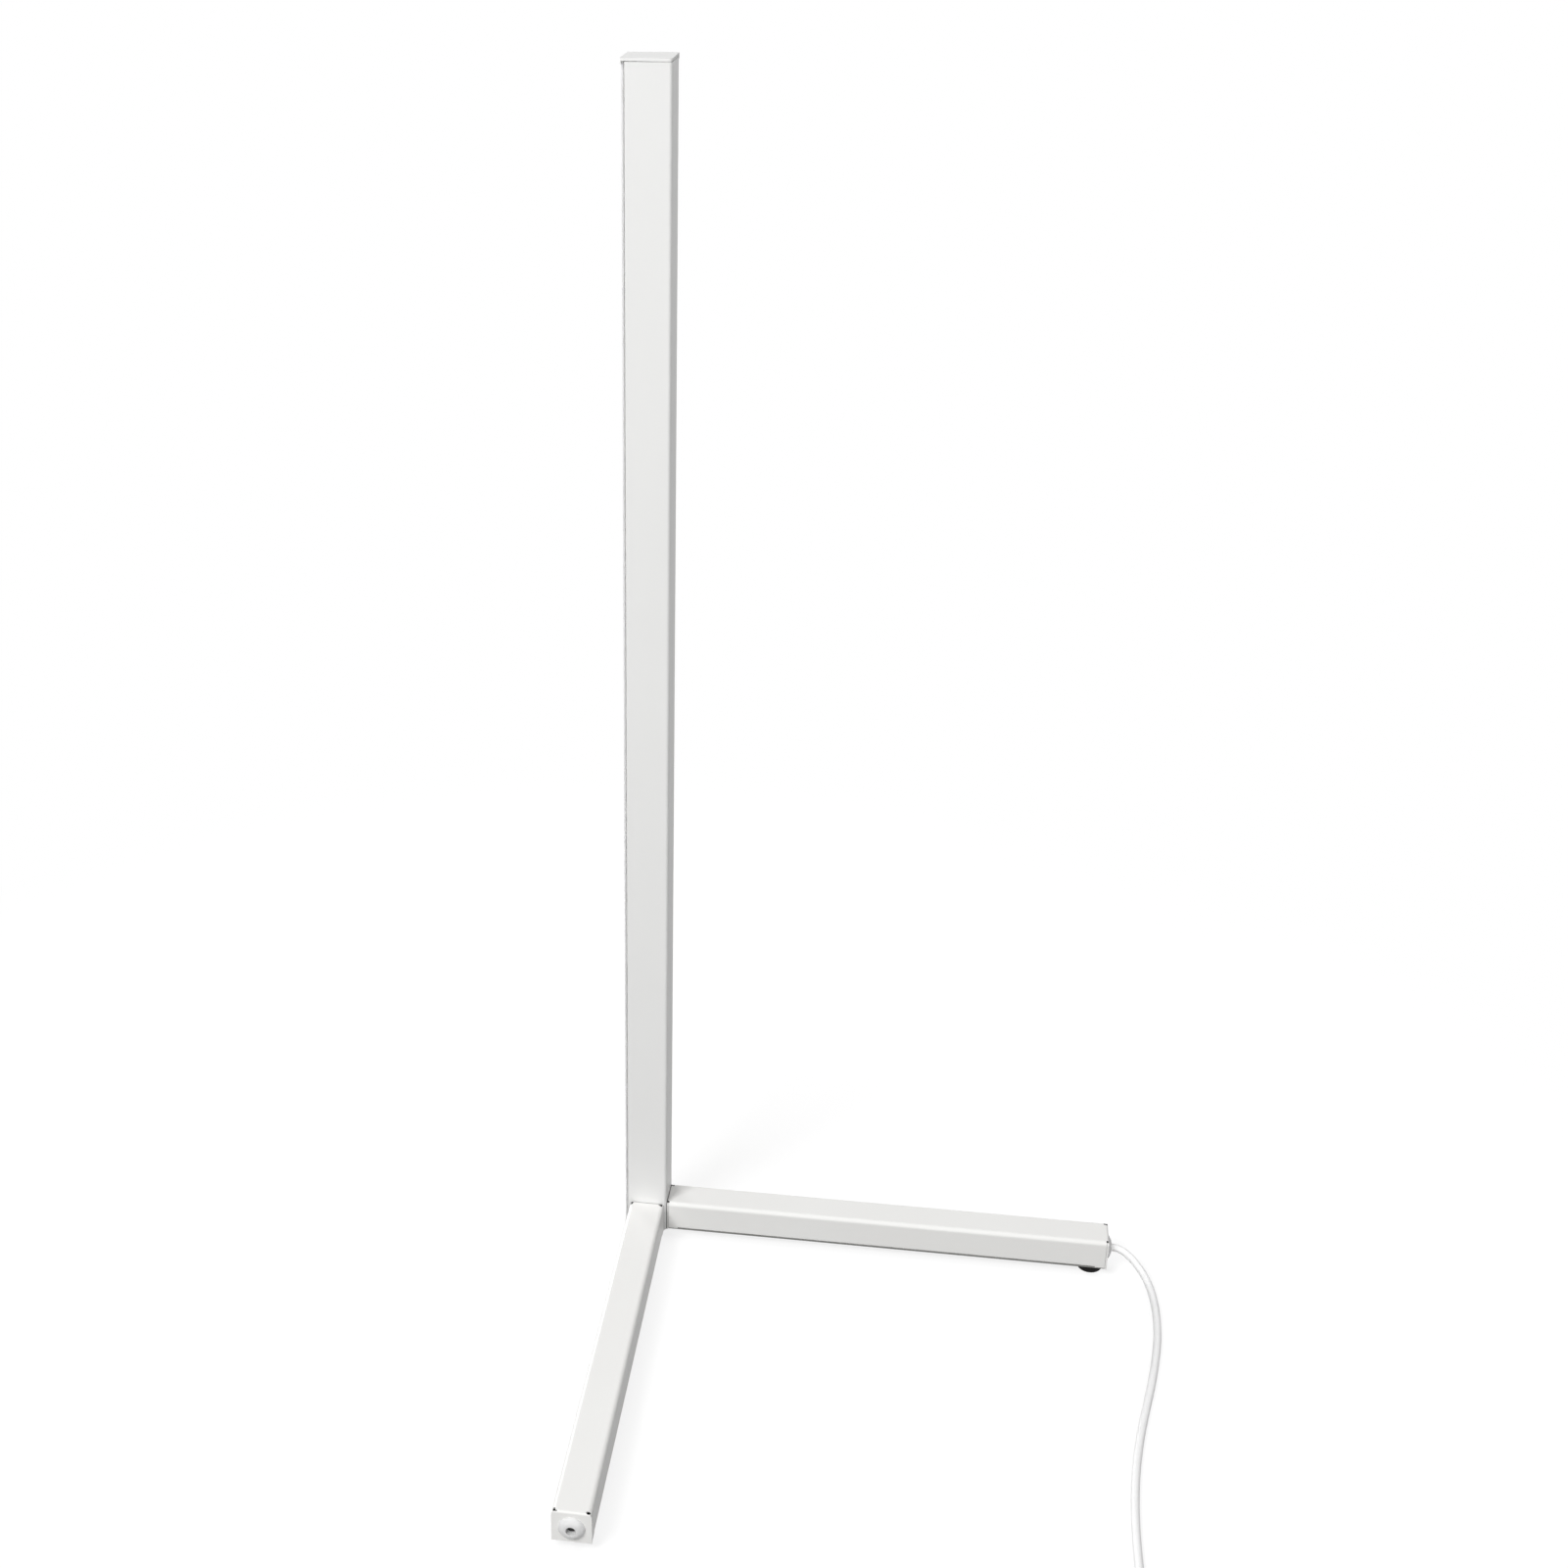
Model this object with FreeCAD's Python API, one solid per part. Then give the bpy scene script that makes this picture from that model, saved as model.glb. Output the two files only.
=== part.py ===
"""Corner floor lamp: a square column on two legs at a right angle.

Millimetres. +Z is up, the floor is z = 0, and the origin is on the floor under the
column's axis. The right leg runs along +X and the front leg along -Y. The column's
painted faces look to -Y and +X, and its opal cover looks to -X and +Y, to the walls.
"""
import FreeCAD, Part
import math
import os

V = FreeCAD.Vector
UP = V(0, 0, 1)

# ---- Driving dimensions ------------------------------------------------------------

# Column
pole_length = 1000.0          # from the underside of the legs to the underside of the cap
pole_side = 34.5              # across the painted faces
pole_wall = 1.6
pole_corner_radius = 2.6
pole_edge_radius = 0.7        # at the two free edges of the painted faces
pole_lip = 4.0                # free edges folded in, for the cover to hook on
web_setback = 3.6             # LED side of the slanted web, in front of the axis
web_wall = 1.6

# Opal cover
cover_gap = 0.7               # shadow gap beside the painted faces' free edges
cover_wall = 1.5
cover_corner_radius = 2.0
cover_setback = 1.4           # its edge behind the painted face
hook_length = 2.4

# Cap and base plate of the column
cap_seam = 0.5                # between the cap and the painted walls, which end below it
cap_thickness = 2.0
cap_overhang = 3.3            # on the two sides with the cover
cap_rim_drop = 2.3
cap_plug_depth = 12.0
cap_corner_radius = 1.2
pole_base_thickness = 2.0

# Legs
leg_width = 30.5
leg_height = 28.0             # with the bottom cover
leg_reach = 403.0             # from the column's axis to the end face
leg_sheet = 1.5
leg_bend_radius = 3.7         # along the two top edges
flap_bend_radius = 1.8        # across the two ends
lip_bend_radius = 1.8         # along the two bottom edges
leg_lip_width = 6.5           # bottom edges folded in
leg_lip_setback = 10.0        # lips stop short of the end flaps
outer_relief_distance = 2.8   # relief holes where three bends meet; axis from the side wall
outer_relief_diameter = 3.2   # that looks to the room's wall
inner_relief_distance = 2.4   # and from the side wall that looks into the room
inner_relief_diameter = 1.8
relief_rim = 0.5              # sheet left between a hole and the end face
relief_depth = 3.6            # below the leg's top
flap_slit = 0.25
bottom_cover_thickness = 1.5
bottom_cover_inset = 1.0      # behind the side walls

# Feet
foot_height = 8.5
foot_diameter = 22.0
foot_taper = 0.6
right_foot_distance = 13.5    # from the leg's end face to the foot's middle
front_foot_distance = 25.0
foot_edge_radius = 0.8
stud_diameter = 3.0           # steel stud moulded into the foot
stud_disc_diameter = 10.0
stud_disc_thickness = 1.2
stud_disc_height = 3.5        # underside of the disc above the floor
stud_length = 6.0             # above the foot's top
boss_diameter = 6.4           # on the plates, round the studs
boss_height = 5.0

# Joint between column and legs
block_side = 9.0
block_height = 24.0
joint_row = 9.9               # from the column's axis plane to the screws
joint_screw_diameter = 3.5
joint_head_diameter = 6.5
joint_head_height = 2.4
joint_head_radius = 0.8
joint_socket_across = 2.5
joint_socket_depth = 1.5
joint_grip = 6.0              # thread inside the block
joint_first_height = 7.0      # above the underside of the legs
joint_pitch = 10.0
joint_stagger = 5.0           # front screws sit this much above the right ones
lead_slot_width = 6.0
lead_slot_low = 10.0
lead_slot_high = 23.5
lead_slot_offset = 1.0        # from the column's axis plane
lead_slot_margin = 1.0        # between a lead and the slot's edge

# Small screws
cover_screw_diameter = 2.5
cover_screw_head = 4.8
cover_screw_length = 3.0
cover_screw_first = 18.0      # from the leg's inner end
cover_screw_last = 36.0       # from the leg's outer end
base_screw_diameter = 3.0
base_screw_head = 5.6
base_screw_length = 5.0

# Domes on the end faces
dome_diameter = 20.4
dome_height = 3.6
dome_rim = 0.6
gland_tip_wall = 0.6          # round the mains lead
window_tip_wall = 1.1         # round the window's bore
dome_axis_height = 13.0       # above the underside of the legs
neck_diameter = 12.0
neck_length = 13.0            # inside the leg, from the outer face
nut_across = 17.0
nut_thickness = 5.0
window_diameter = 7.6
window_recess = 4.0           # from the dome's tip to the receiver's nose

# Light
strip_width = 10.0
strip_thickness = 0.4
strip_start = 48.0            # above the underside of the legs
strip_end_gap = 14.0
strip_lead_rise = 6.0         # solder hole above the strip's lower end
chip_side = 5.0
chip_height = 1.6
chip_pitch = 16.67
chip_well_diameter = 4.0
chip_well_depth = 0.4

# Driver in the right leg
driver_length = 132.0
driver_width = 23.0
driver_height = 19.0
driver_middle = 225.0         # from the column's axis
driver_wall = 1.5
driver_board_thickness = 1.6
driver_board_lift = 3.0

# Controller in the front leg
controller_length = 64.0
controller_width = 23.0
controller_height = 19.0
controller_middle = 170.0
controller_wall = 1.5
controller_board_thickness = 1.6
controller_board_lift = 3.0

# Parts on both boards
component_gap = 0.5           # under the lid
transformer_length = 18.0
transformer_width = 16.0
transformer_core = 22.0       # length of its core
transformer_core_width = 7.0
large_capacitor = 10.0
small_capacitor = 8.0
filter_length = 4.0
filter_width = 3.5
chip_package = 10.0           # microcontroller
chip_package_width = 8.0
chip_package_height = 1.6
transistor_side = 4.0
transistor_height = 3.5
transistor_pitch = 6.0
electrolytic = 6.3

# Inner leads
mains_sheath_diameter = 5.6
low_voltage_diameter = 3.0
strip_lead_diameter = 2.2
receiver_lead_diameter = 2.2
receiver_side = 8.5
receiver_depth = 5.0
receiver_nose_edge = 0.8

# Mains lead
cord_diameter = 6.5
tie_thickness = 0.6
tie_width = 8.0
tie_clearance = 0.1
tie_slack = 0.5               # beside the curved turns
coil_x = 367.5
coil_y = -442.0
coil_outer_radius = 46.0
coil_turn_gap = 0.5
coil_half_turns_in = 5        # then one climbs, and the rest spiral out above
coil_half_turns_out = 4

# Plug
plug_width = 34.0
plug_thickness = 13.7
plug_length = 32.0
plug_neck_length = 16.0
plug_neck_diameter = 9.5
plug_pin_diameter = 4.0
plug_pin_length = 19.0
plug_pin_spacing = 18.6
plug_sleeve_length = 10.0
plug_sleeve_wall = 0.5
plug_pin_tip = 0.8
plug_corner_radius = 2.5
plug_rim_radius = 2.0
plug_taper_share = 0.35       # of its length, from the neck to full width
plug_grip = 0.6               # neck's wall where it grips the lead

clearance = 0.15              # between parts that fit in one another
pick_tolerance = 0.01         # when an edge is picked by its place

# ---- Sizes that follow -------------------------------------------------------------

half = pole_side / 2
inner = half - pole_wall                      # inner faces of the painted walls
root2 = math.sqrt(2)
cover_rise = cover_gap + cover_wall           # from the painted edges to the cover's skin
floor_to_leg = foot_height                    # underside of the legs
pole_bottom = floor_to_leg + pole_base_thickness
pole_top = floor_to_leg + pole_length
channel_bottom = floor_to_leg + bottom_cover_thickness
leg_top = floor_to_leg + leg_height
leg_inside_top = leg_top - leg_sheet
lip_top = channel_bottom + leg_sheet
dome_axis = floor_to_leg + dome_axis_height
web_outer = web_setback * root2               # y = x - web_outer on the LED side
web_inner = (web_setback + web_wall) * root2  # y = x - web_inner on the hidden side
diagonal = V(-1 / root2, 1 / root2, 0)        # from the painted corner to the walls
cord_radius = cord_diameter / 2
coil_pitch = cord_diameter + coil_turn_gap
slot_bottom = floor_to_leg + lead_slot_low
slot_top = floor_to_leg + lead_slot_high
driver_board_top = lip_top + driver_wall + driver_board_lift + driver_board_thickness
controller_board_top = lip_top + controller_wall + controller_board_lift + controller_board_thickness
coil_floor = tie_thickness + tie_clearance + cord_radius
coil_upper = coil_floor + coil_pitch
plug_axis = plug_thickness / 2
strip_lead_height = floor_to_leg + strip_start + strip_lead_rise
joint_hole_radius = joint_screw_diameter / 2 + clearance


# ---- Helpers -----------------------------------------------------------------------

def save(shape, name):
    """Write one sub-part, as one solid or a group of separate solids."""
    print(name, "solids", len(shape.Solids), "valid", shape.isValid())
    shape.exportStep("parts/" + name + ".step")


def box(x0, y0, z0, x1, y1, z1):
    return Part.makeBox(x1 - x0, y1 - y0, z1 - z0, V(x0, y0, z0))


def cylinder(radius, length, base, direction=UP):
    return Part.makeCylinder(radius, length, base, direction)


def prism(points, z0, z1):
    """Straight column on a closed outline in the XY plane."""
    corners = [V(x, y, z0) for x, y in points]
    face = Part.Face(Part.makePolygon(corners + corners[:1]))
    return face.extrude(V(0, 0, z1 - z0))


def upright_edges(shape, places):
    """Edges along Z that stand on the given places."""
    found = []
    for edge in shape.Edges:
        first = edge.Vertexes[0].Point
        last = edge.Vertexes[-1].Point
        if abs(first.x - last.x) + abs(first.y - last.y) > pick_tolerance:
            continue
        if any(abs(first.x - x) + abs(first.y - y) < pick_tolerance for x, y in places):
            found.append(edge)
    return found


def top_edges(block, top, aside):
    """Edges round a block's top face whose middle lies this far from the XZ plane."""
    found = []
    for edge in block.Edges:
        middle = edge.CenterOfMass
        if abs(middle.z - top) < pick_tolerance and abs(abs(middle.y) - aside) < pick_tolerance:
            found.append(edge)
    return found


def mirrored(shape):
    """The same piece across the plane that holds the column's diagonal."""
    return shape.mirror(V(0, 0, 0), V(1, 1, 0))


def turned_to_front(shape):
    """From the right leg's direction to the front leg's."""
    return shape.rotated(V(0, 0, 0), UP, -90)


def hexagon(across, thickness, base, direction):
    """Nut blank with flats, its bottom face at base."""
    corners = []
    reach = across / math.sqrt(3)
    for i in range(7):
        angle = math.radians(60 * i + 30)
        corners.append(V(reach * math.cos(angle), reach * math.sin(angle), 0))
    blank = Part.Face(Part.makePolygon(corners)).extrude(V(0, 0, thickness))
    blank.Placement = FreeCAD.Placement(base, FreeCAD.Rotation(UP, direction))
    return blank


def rounded_path(points):
    """Straight runs joined by tangent arcs; returns the wire, its length and the radii."""
    edges = []
    radii = []
    start = points[0]
    for before, corner, after in zip(points, points[1:], points[2:]):
        into = corner - before
        out = after - corner
        short = min(into.Length, out.Length)
        into.normalize()
        out.normalize()
        half_turn = into.getAngle(out) / 2
        radius = 0.45 * short / math.tan(half_turn)
        back = 0.45 * short
        arc_start = corner - into * back
        arc_end = corner + out * back
        to_middle = out - into
        to_middle.normalize()
        centre = corner + to_middle * (radius / math.cos(half_turn))
        arc_middle = centre - to_middle * radius
        edges.append(Part.LineSegment(start, arc_start).toShape())
        edges.append(Part.Arc(arc_start, arc_middle, arc_end).toShape())
        radii.append(radius)
        start = arc_end
    edges.append(Part.LineSegment(start, points[-1]).toShape())
    wire = Part.Wire(edges)
    return wire, wire.Length, radii


def tube_along(wire, diameter):
    """Round bar along a smooth wire."""
    first = wire.OrderedEdges[0]
    start = first.valueAt(first.FirstParameter)
    direction = first.tangentAt(first.FirstParameter)
    if (start - wire.OrderedVertexes[0].Point).Length > pick_tolerance:
        start = first.valueAt(first.LastParameter)
        direction = first.tangentAt(first.LastParameter) * -1
    section = Part.Wire([Part.Circle(start, direction, diameter / 2).toShape()])
    return wire.makePipeShell([section], True, False)


def lead(points, diameter, name):
    """Tube on a hand-chosen route; prints its bends and compares its volume."""
    wire, length, radii = rounded_path([V(*p) for p in points])
    tube = tube_along(wire, diameter)
    expected = math.pi * diameter ** 2 / 4 * length
    print(name, "length", round(length, 1), "volume ratio", round(tube.Volume / expected, 5))
    print(name, "radii in diameters", [round(r / diameter, 1) for r in radii])
    return tube


# ---- Column ------------------------------------------------------------------------

def joint_heights(first):
    return [floor_to_leg + first + i * joint_pitch for i in range(2)]


right_screw_heights = joint_heights(joint_first_height)
front_screw_heights = joint_heights(joint_first_height + joint_stagger)
block_middle = inner - block_side / 2         # from the axis to the block's middle


def pole_profile():
    """Extrusion: two painted walls, folded-in free edges and the slanted web for the LEDs."""
    outline = [
        (-half, -half), (half, -half), (half, half),
        (half - pole_lip, half), (half - pole_lip, inner), (inner, inner),
        (inner, inner - web_outer), (web_outer - inner, -inner),
        (-inner, -inner), (-inner, -half + pole_lip), (-half, -half + pole_lip),
    ]
    body = prism(outline, pole_bottom, pole_top - cap_seam)
    body = body.makeFillet(pole_corner_radius, upright_edges(body, [(half, -half)]))
    body = body.makeFillet(pole_edge_radius, upright_edges(body, [(-half, -half), (half, half)]))
    corners = [(inner, -inner), (inner, inner - web_inner), (web_inner - inner, -inner)]
    chamber = prism(corners, pole_bottom, pole_top)
    body = body.cut(chamber)
    start = inner - pole_wall / 2
    for z in right_screw_heights:
        body = body.cut(cylinder(joint_hole_radius, 2 * pole_wall, V(start, -joint_row, z), V(1, 0, 0)))
    for z in front_screw_heights:
        body = body.cut(cylinder(joint_hole_radius, 2 * pole_wall, V(joint_row, -start, z), V(0, -1, 0)))
    slot = box(start, -lead_slot_offset - lead_slot_width / 2, slot_bottom,
               half + pole_wall, -lead_slot_offset + lead_slot_width / 2, slot_top)
    body = body.cut(slot).cut(mirrored(slot))
    behind_web = diagonal * (-web_setback - 2 * web_wall) + V(0, 0, strip_lead_height)
    solder_hole = cylinder(strip_lead_diameter / 2 + clearance, 3 * web_wall, behind_web, diagonal)
    return body.cut(solder_hole)


def pole_diffuser():
    """Opal cover: two thin walls round the wall-side corner, hooked behind the folded-in edges."""
    out = half + cover_rise
    edge = half - cover_setback
    hook = -half + pole_lip + clearance
    outline = [
        (-out, -edge), (-out, out), (edge, out),
        (edge, out - cover_wall), (-out + cover_wall, out - cover_wall), (-out + cover_wall, -edge),
    ]
    body = prism(outline, pole_bottom, pole_top)
    body = body.makeFillet(cover_corner_radius, upright_edges(body, [(-out, out)]))
    tip = -half - clearance + hook_length
    arm = box(-out + cover_wall / 2, hook, pole_bottom, tip, hook + cover_wall, pole_top)
    return body.fuse([arm, mirrored(arm)]).removeSplitter()


def cap_outline(z0, z1):
    """Square plate, flush with the painted faces and overhanging the cover."""
    far = half + cap_overhang
    plate = box(-far, -half, z0, half, far, z1)
    plate = plate.makeFillet(pole_corner_radius, upright_edges(plate, [(half, -half)]))
    others = upright_edges(plate, [(-far, -half), (-far, far), (half, far)])
    return plate.makeFillet(cap_corner_radius, others)


def top_cap():
    """Plate with a rim over the cover's edge and a plug in the column's chamber."""
    far = half + cap_overhang
    wall_inside = half + cover_rise + clearance
    plate = cap_outline(pole_top, pole_top + cap_thickness)
    rim = cap_outline(pole_top - cap_rim_drop, pole_top)
    rim = rim.cut(box(-wall_inside, -far, pole_top - cap_rim_drop, far, wall_inside, pole_top))
    gap = clearance * (1 + root2)
    low = web_inner - inner + gap
    edge = inner - clearance
    plug = prism([(edge, -edge), (edge, -low), (low, -edge)], pole_top - cap_plug_depth, pole_top)
    return plate.fuse([rim, plug]).removeSplitter()


def pole_base_plate():
    """Plate that closes the column's bottom, with a boss for the foot's stud."""
    plate = cap_outline(floor_to_leg, pole_bottom)
    plate = plate.fuse(cylinder(boss_diameter / 2, boss_height, V(0, 0, pole_bottom)))
    plate = plate.cut(cylinder(stud_diameter / 2, stud_length, V(0, 0, floor_to_leg)))
    return plate.cut(base_plate_screw(clearance))


def corner_block():
    """Threaded block in the painted corner that the leg and base screws bite into."""
    top = pole_bottom + block_height
    block = box(inner - block_side, -inner, pole_bottom, inner, -inner + block_side, top)
    block = block.makeFillet(pole_corner_radius - pole_wall, upright_edges(block, [(inner, -inner)]))
    radius = joint_screw_diameter / 2
    for z in right_screw_heights:
        block = block.cut(cylinder(radius, joint_grip, V(inner, -joint_row, z), V(-1, 0, 0)))
    for z in front_screw_heights:
        block = block.cut(cylinder(radius, joint_grip, V(joint_row, -inner, z), V(0, 1, 0)))
    grip = base_screw_length - pole_base_thickness
    return block.cut(cylinder(base_screw_diameter / 2, grip, V(block_middle, -block_middle, pole_bottom)))


# ---- Screws and feet ---------------------------------------------------------------

def countersunk(diameter, head, length, base, direction, extra=0.0):
    """Flat-headed screw, its head flush at base; extra widens it into its hole."""
    depth = (head - diameter) / 2
    cone = Part.makeCone(head / 2 + extra, diameter / 2 + extra, depth, base, direction)
    shank = cylinder(diameter / 2 + extra, length - depth, base + direction * depth, direction)
    return cone.fuse(shank).removeSplitter()


def base_plate_screw(extra=0.0):
    """Holds the base plate against the block."""
    place = V(block_middle, -block_middle, floor_to_leg)
    return countersunk(base_screw_diameter, base_screw_head, base_screw_length, place, UP, extra)


def joint_screw(base, direction):
    """Round-headed screw from inside the leg, through flap and column wall, into the block."""
    head = cylinder(joint_head_diameter / 2, joint_head_height, base, direction * -1)
    crown = base - direction * joint_head_height
    rim = [e for e in head.Edges if e.isClosed() and (e.CenterOfMass - crown).Length < joint_head_height / 2]
    head = head.makeFillet(joint_head_radius, rim)
    reach = leg_sheet + pole_wall + joint_grip
    shank = cylinder(joint_screw_diameter / 2, reach, base, direction)
    socket = hexagon(joint_socket_across, joint_socket_depth, crown, direction)
    return head.fuse(shank).removeSplitter().cut(socket)


def right_joint_screws():
    start = half + leg_sheet
    places = [V(start, -joint_row, z) for z in right_screw_heights]
    return Part.makeCompound([joint_screw(place, V(-1, 0, 0)) for place in places])


def front_joint_screws():
    start = -half - leg_sheet
    places = [V(joint_row, start, z) for z in front_screw_heights]
    return Part.makeCompound([joint_screw(place, V(0, 1, 0)) for place in places])


def foot_places():
    right = V(leg_reach - right_foot_distance, 0, 0)
    front = V(0, front_foot_distance - leg_reach, 0)
    return {"corner_foot": V(0, 0, 0), "right_foot": right, "front_foot": front}


def foot_stud(place):
    """Steel stud with the disc that the rubber is moulded round."""
    seat = place + V(0, 0, stud_disc_height)
    disc = cylinder(stud_disc_diameter / 2, stud_disc_thickness, seat)
    shank = cylinder(stud_diameter / 2, foot_height - stud_disc_height + stud_length, seat)
    return disc.fuse(shank).removeSplitter()


def foot(place):
    """Slightly tapered rubber foot, moulded round its stud."""
    body = Part.makeCone(foot_diameter / 2 - foot_taper, foot_diameter / 2, foot_height, place)
    bottom = [e for e in body.Edges if e.isClosed() and abs(e.CenterOfMass.z) < pick_tolerance]
    body = body.makeFillet(foot_edge_radius, bottom)
    return body.cut(foot_stud(place))


def foot_studs():
    return Part.makeCompound([foot_stud(place) for place in foot_places().values()])


# ---- Legs --------------------------------------------------------------------------

def bent_block(near, far, wide, top, long_radius, end_radius):
    """Block rounded along its two long top edges and across its two ends."""
    along = box(near, -wide, channel_bottom, far, wide, top)
    along = along.makeFillet(long_radius, top_edges(along, top, wide))
    across = box(near, -2 * wide, channel_bottom, far, 2 * wide, top)
    across = across.makeFillet(end_radius, top_edges(across, top, 0))
    return along.common(across)


def leg_shell(side):
    """Folded channel along +X, open below, with a flap bent down at each end.

    side is +1 for the right leg and -1 for the front leg, whose openings are mirrored.
    The flaps reach down over the bottom cover's ends.
    """
    near = half
    far = leg_reach
    wide = leg_width / 2
    body = bent_block(near, far, wide, leg_top, leg_bend_radius, flap_bend_radius)
    hollow = bent_block(near + leg_sheet, far - leg_sheet, wide - leg_sheet, leg_inside_top,
                        leg_bend_radius - leg_sheet, flap_bend_radius - leg_sheet)
    body = body.cut(hollow)
    body = body.fuse([box(near, -wide, floor_to_leg, near + leg_sheet, wide, lip_top),
                      box(far - leg_sheet, -wide, floor_to_leg, far, wide, lip_top)])
    for sign in (-1, 1):
        body = body.fuse(leg_lip(near + leg_lip_setback, far - leg_lip_setback, sign))
        body = body.cut(lip_bend(near + leg_lip_setback, far - leg_lip_setback, sign))
    body = body.removeSplitter()
    for sign in (-1, 1):
        body = body.cut(corner_cuts(near, 1, sign))
        body = body.cut(corner_cuts(far, -1, sign))
    neck_start = V(far - 2 * leg_sheet, 0, dome_axis)
    body = body.cut(cylinder(neck_diameter / 2 + clearance, 3 * leg_sheet, neck_start, V(1, 0, 0)))
    heights = right_screw_heights if side > 0 else front_screw_heights
    for z in heights:
        start = V(near - leg_sheet, -side * joint_row, z)
        body = body.cut(cylinder(joint_hole_radius, 3 * leg_sheet, start, V(1, 0, 0)))
    middle = -side * lead_slot_offset
    slot = box(near - leg_sheet, middle - lead_slot_width / 2, slot_bottom,
               near + 2 * leg_sheet, middle + lead_slot_width / 2, slot_top)
    body = body.cut(slot)
    for x, y in cover_screw_places():
        hole = cylinder(cover_screw_diameter / 2, 3 * leg_sheet, V(x, y, channel_bottom - leg_sheet))
        body = body.cut(hole)
    return body


def leg_lip(start, end, sign):
    """Bottom edge of one side wall, folded in."""
    wide = leg_width / 2
    low, high = sorted([sign * (wide - leg_lip_width), sign * (wide - leg_sheet / 2)])
    return box(start, low, channel_bottom, end, high, lip_top)


def lip_bend(start, end, sign):
    """What the fold leaves away outside the lip's rounded edge."""
    axis_y = sign * (leg_width / 2 - lip_bend_radius)
    axis_z = channel_bottom + lip_bend_radius
    low, high = sorted([axis_y, axis_y + sign * 2 * lip_bend_radius])
    corner = box(start, low, channel_bottom - lip_bend_radius, end, high, axis_z)
    return corner.cut(cylinder(lip_bend_radius, end - start, V(start, axis_y, axis_z), V(1, 0, 0)))


def corner_cuts(face, inward, sign):
    """Slit between the flap at face and one side wall, and the drilled relief above it."""
    wide = leg_width / 2
    flap = face + inward * leg_sheet
    slit_x = sorted([flap, flap + inward * flap_slit])
    slit_y = sorted([sign * (wide - leg_sheet), sign * (wide + leg_sheet)])
    slit = box(slit_x[0], slit_y[0], channel_bottom, slit_x[1], slit_y[1], leg_top)
    distance = outer_relief_distance if sign > 0 else inner_relief_distance
    radius = (outer_relief_diameter if sign > 0 else inner_relief_diameter) / 2
    axis = V(face + inward * (relief_rim + radius), sign * (wide - distance), leg_top - relief_depth)
    return slit.fuse(cylinder(radius, 2 * relief_depth, axis))


def cover_screw_places():
    """Six screws through the bottom cover into the folded-in lips."""
    row = leg_width / 2 - (leg_lip_width + leg_sheet) / 2
    first = half + cover_screw_first
    last = leg_reach - cover_screw_last
    places = []
    for i in range(3):
        x = first + (last - first) * i / 2
        places.append((x, row))
        places.append((x, -row))
    return places


def leg_bottom_cover(foot_distance):
    """Flat cover under the channel, between the flaps, with a boss for the foot's stud."""
    wide = leg_width / 2 - bottom_cover_inset
    end = leg_sheet + clearance
    plate = box(half + end, -wide, floor_to_leg, leg_reach - end, wide, channel_bottom)
    foot_x = leg_reach - foot_distance
    plate = plate.fuse(cylinder(boss_diameter / 2, boss_height, V(foot_x, 0, channel_bottom)))
    plate = plate.cut(cylinder(stud_diameter / 2, stud_length, V(foot_x, 0, floor_to_leg)))
    for screw in cover_screw_solids(clearance):
        plate = plate.cut(screw)
    return plate


def cover_screw_solids(extra=0.0):
    size = (cover_screw_diameter, cover_screw_head, cover_screw_length)
    return [countersunk(*size, V(x, y, floor_to_leg), UP, extra) for x, y in cover_screw_places()]


def leg_cover_screws():
    return Part.makeCompound(cover_screw_solids())


# ---- Domes on the end faces --------------------------------------------------------

def dome(tip):
    """Low dome on the leg's end face with a threaded neck into the leg; tip is its flat's radius."""
    base = dome_diameter / 2
    bulge = V((base + tip) / 2, 0, (dome_rim + dome_height) / 2) + V(1, 0, 1) * (dome_height / 8)
    shoulder = Part.Arc(V(base, 0, dome_rim), bulge, V(tip, 0, dome_height)).toShape()
    edges = [
        Part.LineSegment(V(0, 0, 0), V(base, 0, 0)).toShape(),
        Part.LineSegment(V(base, 0, 0), V(base, 0, dome_rim)).toShape(),
        shoulder,
        Part.LineSegment(V(tip, 0, dome_height), V(0, 0, dome_height)).toShape(),
        Part.LineSegment(V(0, 0, dome_height), V(0, 0, 0)).toShape(),
    ]
    body = Part.Face(Part.Wire(edges)).revolve(V(0, 0, 0), UP, 360)
    body = body.fuse(cylinder(neck_diameter / 2, neck_length, V(0, 0, -neck_length))).removeSplitter()
    body.Placement = FreeCAD.Placement(V(leg_reach, 0, dome_axis), FreeCAD.Rotation(UP, V(1, 0, 0)))
    return body


def cord_gland():
    return dome(cord_radius + gland_tip_wall)


def neck_nut():
    """Lock nut on the neck, against the inside of the end flap."""
    back = V(leg_reach - leg_sheet - nut_thickness, 0, dome_axis)
    nut = hexagon(nut_across, nut_thickness, back, V(1, 0, 0))
    return nut.cut(cylinder(neck_diameter / 2, nut_thickness, back, V(1, 0, 0)))


def sensor_window():
    """The front leg's dome, bored through for the infrared receiver behind it."""
    start = V(leg_reach - neck_length, 0, dome_axis)
    bore = cylinder(window_diameter / 2, neck_length + dome_height, start, V(1, 0, 0))
    return dome(window_diameter / 2 + window_tip_wall).cut(bore)


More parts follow.
